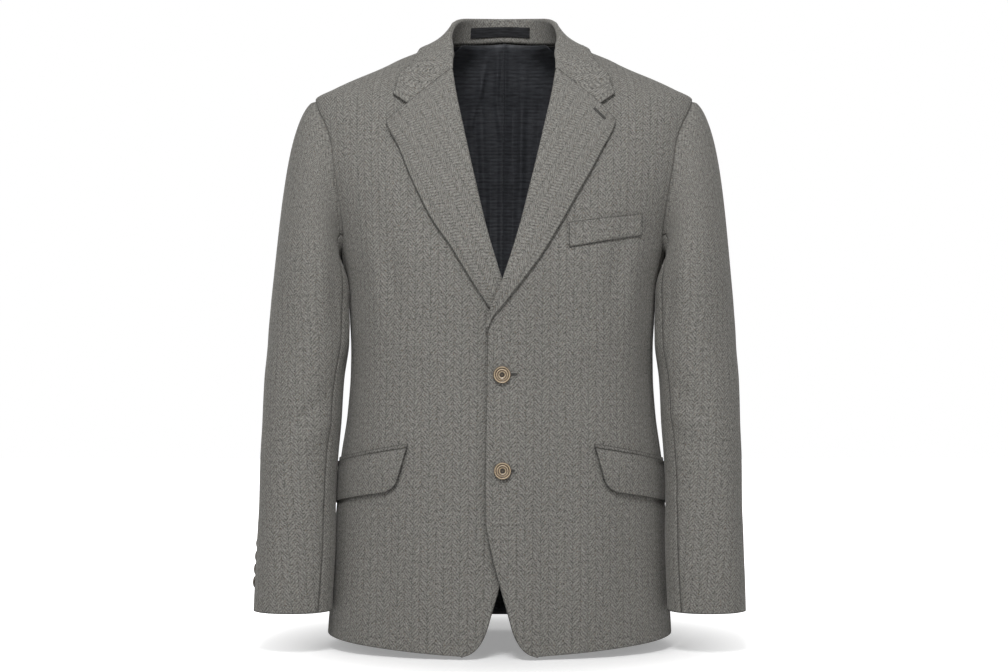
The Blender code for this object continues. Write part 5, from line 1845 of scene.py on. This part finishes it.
# %% Stitch geometry
STITCH_PITCH = 0.0055
STITCH_LENGTH = 0.0026
STITCH_WIDTH = 0.0008
STITCH_HEIGHT = 0.0006
PURL_PITCH = 0.00075    # the close stitches round a buttonhole
PURL_LENGTH = 0.0022
PURL_WIDTH = 0.00085
PURL_HEIGHT = 0.0007
PICK_UNEVEN = 0.12      # radians that a stitch may stand out of line
PURL_UNEVEN = 0.15
THREAD_RISE = 0.00008   # how far the middle of a stitch lies above the cloth


def stitch_mesh(name, length, width, height):
    """One stitch: a short rounded bar, flattened where it sinks into the cloth."""
    rings = [(-1.0, 0.25), (-0.72, 0.8), (0.0, 1.0), (0.72, 0.8), (1.0, 0.25)]
    turns = np.linspace(0, 2 * math.pi, THREAD_SIDES, endpoint=False)
    points = []
    for place, size in rings:
        for t in turns:
            across, up = math.cos(t) * size * width / 2, math.sin(t) * size * height / 2
            points.append((place * length / 2, across, up))
    mesh = new_mesh(name, points, tube_faces(len(rings), THREAD_SIDES))
    mesh.shade_smooth()
    return mesh


STITCHING_NEEDS = {
    "Paths": "Geometry", "Stitch": "Object", "Pitch": "Float", "Turn": "Float", "Thread": "Material",
    "Uneven": "Float",
}


def stitching_group():
    """A node group: even copies of one stitch along the paths of a mesh, lying on the cloth."""
    group = bpy.data.node_groups.new("row_of_stitches", "GeometryNodeTree")
    put = partial(add_node, group)
    for label, kind in STITCHING_NEEDS.items():
        group.interface.new_socket(label, in_out="INPUT", socket_type="NodeSocket" + kind)
    group.interface.new_socket("Stitches", in_out="OUTPUT", socket_type="NodeSocketGeometry")
    given = put("NodeGroupInput")

    curve = put("GeometryNodeMeshToCurve", {"Mesh": given["Paths"]})
    spacing = {"Curve": curve["Curve"], "Length": given["Pitch"]}
    even = put("GeometryNodeResampleCurve", spacing, mode="LENGTH")

    tangent = put("GeometryNodeInputTangent")
    along = put("FunctionNodeAlignRotationToVector", {"Vector": tangent[0]}, axis="X")
    out = put("GeometryNodeInputNamedAttribute", {"Name": "face_out"}, data_type="FLOAT_VECTOR")
    upright = {"Rotation": along[0], "Vector": out["Attribute"]}
    stand = put("FunctionNodeAlignRotationToVector", upright, axis="Z", pivot_axis="X")

    chance = put("FunctionNodeRandomValue", {2: -1.0, 3: 1.0, "Seed": 7})
    skewed = {0: chance[1], 1: given["Uneven"], 2: given["Turn"]}
    wander = put("ShaderNodeMath", skewed, operation="MULTIPLY_ADD")
    turned = put("FunctionNodeAxisAngleToRotation", {"Axis": (0, 0, 1), "Angle": wander[0]})
    both = {"Rotation": stand[0], "Rotate By": turned[0]}
    spin = put("FunctionNodeRotateRotation", both, rotation_space="LOCAL")

    shape = put("GeometryNodeObjectInfo", {"Object": given["Stitch"]})
    sown = {"Points": even["Curve"], "Instance": shape["Geometry"], "Rotation": spin[0]}
    copies = put("GeometryNodeInstanceOnPoints", sown)
    real = put("GeometryNodeRealizeInstances", {0: copies[0]})
    painted = {"Geometry": real[0], "Material": given["Thread"]}
    result = put("GeometryNodeSetMaterial", painted)
    put("NodeGroupOutput", {"Stitches": result[0]})
    return group


STITCHING = stitching_group()
SOCKETS = {item.name: item.identifier for item in STITCHING.interface.items_tree if item.in_out == "INPUT"}


def add_stitches(name, paths, stitch, pitch, turn, uneven, thread):
    """Rows of stitches along paths, each a pair of points and outward directions."""
    points, edges, outward = [], [], []
    for path, out in paths:
        first = len(points)
        points += (path + out * THREAD_RISE).tolist()
        outward += out.tolist()
        edges += [(first + k, first + k + 1) for k in range(len(path) - 1)]
    lines = new_mesh(name + "_paths", points, [], edges)
    face_out = lines.attributes.new("face_out", "FLOAT_VECTOR", "POINT")
    face_out.data.foreach_set("vector", np.array(outward, np.float32).ravel())
    rows, shape = add_object(name + "_rows", lines), add_object(name + "_shape", stitch)
    sewing = rows.modifiers.new("sewing", "NODES")
    sewing.node_group = STITCHING
    for label, value in (
        ("Stitch", shape), ("Pitch", pitch), ("Turn", turn), ("Thread", thread), ("Uneven", uneven),
    ):
        sewing[SOCKETS[label]] = value
    mesh = baked(rows, shape)
    mesh.name = name
    piece = add_object(name, mesh)
    sewn[name] = (piece, "wool")
    return piece


print("stitching group:", len(STITCHING.nodes), "nodes")


# %% Paths just inside the edges
EDGE_INSET = 0.0052     # from the edge of a lapel, the collar or a front
FLAP_INSET = 0.0040
WELT_INSET = 0.0025


def on_grid(node, rows, columns, over="face"):
    """Points and outward directions of a piece at fractional rows and columns of its grid."""
    face, back = grids[node] if over == "face" else grids[node][::-1]
    outward = unit(face - back)
    rows, columns = np.broadcast_arrays(np.asarray(rows, float), np.asarray(columns, float))
    j = np.clip(rows.astype(int), 0, face.shape[0] - 2)
    i = np.clip(columns.astype(int), 0, face.shape[1] - 2)
    v, u = (rows - j)[..., None], (columns - i)[..., None]
    result = []
    for grid in (face, outward):
        low = grid[j, i] * (1 - u) + grid[j, i + 1] * u
        high = grid[j + 1, i] * (1 - u) + grid[j + 1, i + 1] * u
        result.append(low * (1 - v) + high * v)
    return result[0], unit(result[1])


def inset_places(run, inset, from_end):
    """The fractional place in each row of lengths that lies inset from its start, or from its end."""
    if from_end:
        run = run[:, -1:] - run
    order = slice(None, None, -1 if from_end else 1)
    number = np.arange(run.shape[1], dtype=float)[order]
    return np.array([np.interp(inset, line[order], number) for line in run])


def inset_columns(node, rows, edge, inset=EDGE_INSET):
    """The fractional columns that lie inset from the left or right edge, at whole rows."""
    return inset_places(rows_length(grids[node][0])[rows], inset, edge == "right")


def inset_rows(node, columns, edge, inset=EDGE_INSET):
    """The fractional rows that lie inset from the bottom or top edge, at whole columns."""
    return inset_places(columns_length(grids[node][0])[:, columns].T, inset, edge == "top")


def lapel_paths(node):
    """Along a lapel's outer edge, then along its top to the notch."""
    rows, columns = grids[node][0].shape[:2]
    inset = EDGE_INSET / math.cos(LAPEL_GRAIN)
    up = np.arange(6, rows - 3)
    side = on_grid(node, up, inset_columns(node, up, "right", inset))
    along = np.arange(columns - 3, columns - NOTCH_CELLS, -1)
    top = on_grid(node, inset_rows(node, along, "top"), along)
    return [side, top]


def front_paths(node):
    """Up a front's edge, from above its rounded corner to just below the lapel's roll."""
    face = grids[node][0]
    up = np.flatnonzero(face[:, 0, 2] < BREAK - 0.01)[6:]
    return [on_grid(node, up, inset_columns(node, up, "left"))]


def flap_paths(node):
    """Up a flap's slanted front edge, and along its lower edge."""
    rows, columns = grids[node][0].shape[:2]
    up = np.arange(2, rows - 4)
    along = np.arange(2, columns - 2)
    side = on_grid(node, up, inset_columns(node, up, "left", FLAP_INSET))
    hem = on_grid(node, inset_rows(node, along, "bottom", FLAP_INSET), along)
    return [side, hem]


def collar_paths():
    """Just inside the fall's outer edge, from tip to tip."""
    outside = grids["collar"][1]
    rows = np.arange(2, len(outside) - 2)
    return [on_grid("collar", rows, inset_places(rows_length(outside)[rows], EDGE_INSET, True), "back")]


def welt_paths(node):
    """Up both ends of the welt, where it is sewn down."""
    up = np.arange(2, len(grids[node][0]) - 2)
    return [on_grid(node, up, inset_columns(node, up, edge, WELT_INSET)) for edge in ("left", "right")]


pick = stitch_mesh("pick_stitch", STITCH_LENGTH, STITCH_WIDTH, STITCH_HEIGHT)
edge_rows = {"stitches_collar": collar_paths(), "stitches_welt": welt_paths("breast_welt")}
for side in SIDES:
    edge_rows["stitches_lapel_" + side] = lapel_paths("lapel_" + side)
    edge_rows["stitches_front_" + side] = front_paths("front_" + side)
    edge_rows["stitches_flap_" + side] = flap_paths("pocket_flap_" + side)
for name, paths in edge_rows.items():
    piece = add_stitches(name, paths, pick.copy(), STITCH_PITCH, 0.0, PICK_UNEVEN, edge_thread)
    print(name, len(piece.data.polygons), "faces")


# %% [markdown]
# ### Buttonholes
# A buttonhole is a slit bound by close purl stitches set square to its edge, with a bar at the end. Two lie
# behind the front buttons and show only beyond them; one is worked in the lapel below the notch.

# %% Worked buttonholes
HOLE_BAND = 0.0008      # from the slit to the middle of its purl stitches
BUTTONHOLES = {         # the piece, then across and level at both ends of the slit
    "top": ("front_left", (0.0010, -0.3905), (0.0175, -0.3900)),
    "lower": ("front_left", (0.0020, -0.5035), (0.0155, -0.5030)),
    "lapel": ("lapel_left", (0.1085, -0.0712), (0.1215, -0.0840)),
}


def hole_loop(start, end):
    """A narrow loop round a slit, open at its inner end, as across and level."""
    start, end = np.array(start), np.array(end)
    run = unit(end - start)
    side = np.array([-run[1], run[0]])
    share = np.linspace(0, 1, 24)[:, None]
    turn = np.linspace(90, -90, 9)[1:-1, None] * math.pi / 180
    there = start + (end - start) * share + side * HOLE_BAND
    cap = end + HOLE_BAND * (run * np.cos(turn) + side * np.sin(turn))
    back = start + (end - start) * share[::-1] - side * HOLE_BAND
    return np.concatenate([there, cap, back])


def onto(node, x, z):
    """Points of a piece's face straight behind places seen from the front, and outward directions."""
    face, back = (grid.reshape(-1, 3) for grid in grids[node])
    outward = unit(face - back)
    points, directions = [], []
    for px, pz in zip(x, z):
        near = np.argmin((face[:, 0] - px) ** 2 + (face[:, 2] - pz) ** 2)
        at, out = face[near], outward[near]
        step = (out[0] * (px - at[0]) + out[2] * (pz - at[2])) / out[1]
        points.append((px, at[1] - step, pz))
        directions.append(out)
    return np.array(points), np.array(directions)


def hole_path(node, start, end):
    """A buttonhole's loop on the face of a piece."""
    flat = hole_loop(start, end)
    x = placed(joined(flat[:, 0], 0 * flat[:, 0], flat[:, 1]), "left")[:, 0]
    return onto(node, x, flat[:, 1])


purl = stitch_mesh("purl_stitch", PURL_LENGTH, PURL_WIDTH, PURL_HEIGHT)
square = math.radians(90)
for name, (node, start, end) in BUTTONHOLES.items():
    path = hole_path(node, start, end)
    add_stitches("buttonhole_" + name, [path], purl.copy(), PURL_PITCH, square, PURL_UNEVEN, hole_thread)
print("sewn pieces:", len(sewn))


# %% [markdown]
# ## The floor
# The floor is white paper. It is lit so that it reads as plain white, and only the shadow under the hem
# shows on it. Beyond the shadow it glows by itself, so that it joins the white world without a line.

# %% Floor
FLOOR_HALF = 4.0
FLOOR_DROP = 0.003      # below the lowest cloth
FLOOR_WHITE = 0.80
FLOOR_GLOW = 0.30       # brings the lit floor near to white
SHADOW_INNER = 0.16     # metres from the middle where the shadow starts to fade
SHADOW_OUTER = 0.48


def floor_paper():
    """White paper that gives back all its light beyond the shadow."""
    g = Graph("floor_paper")
    square = [g.times(part, part) for part in g.parts(g.object_point())[:2]]
    away = g.math("SQRT", g.plus(*square))
    clear = g.spread(away, SHADOW_INNER, SHADOW_OUTER)
    camera_ray = g.node("LightPath")["Is Camera Ray"]
    glow = g.plus(clear, FLOOR_GLOW)
    return g.finish(
        Base_Color=(FLOOR_WHITE, FLOOR_WHITE, FLOOR_WHITE, 1.0), Roughness=1.0, Specular_IOR_Level=0.0,
        Emission_Color=(1.0, 1.0, 1.0, 1.0), Emission_Strength=g.times(glow, camera_ray),
    )


low = min(corner[2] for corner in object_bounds()) - FLOOR_DROP
corners = [(x * FLOOR_HALF, y * FLOOR_HALF, low) for x, y in ((-1, -1), (1, -1), (1, 1), (-1, 1))]
floor_mesh = new_mesh("floor", corners, [(0, 1, 2, 3)])
floor_mesh.materials.append(floor_paper())
floor = add_object("floor", floor_mesh)
floor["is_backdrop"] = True
print("floor at", round(low, 4))


# %% [markdown]
# ## Attaching the pieces
# Each finished piece is attached to the root, and the frame's own part of the same name is hidden. The sewn
# pieces are attached as well, and the pieces other than buttons are counted as sheets.


sheets = 0
for node, piece in made.items():
    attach(piece, "root")
    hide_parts(node)
    if "button" in node:
        continue
    side = node.rpartition("_")[2]
    kind = node.removesuffix("_" + side) if side in SIDES else node
    sheets += 1
for piece, slot in sewn.values():
    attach(piece, "root")
print(sheets, "sheets declared and", len(sewn), "sewn pieces")
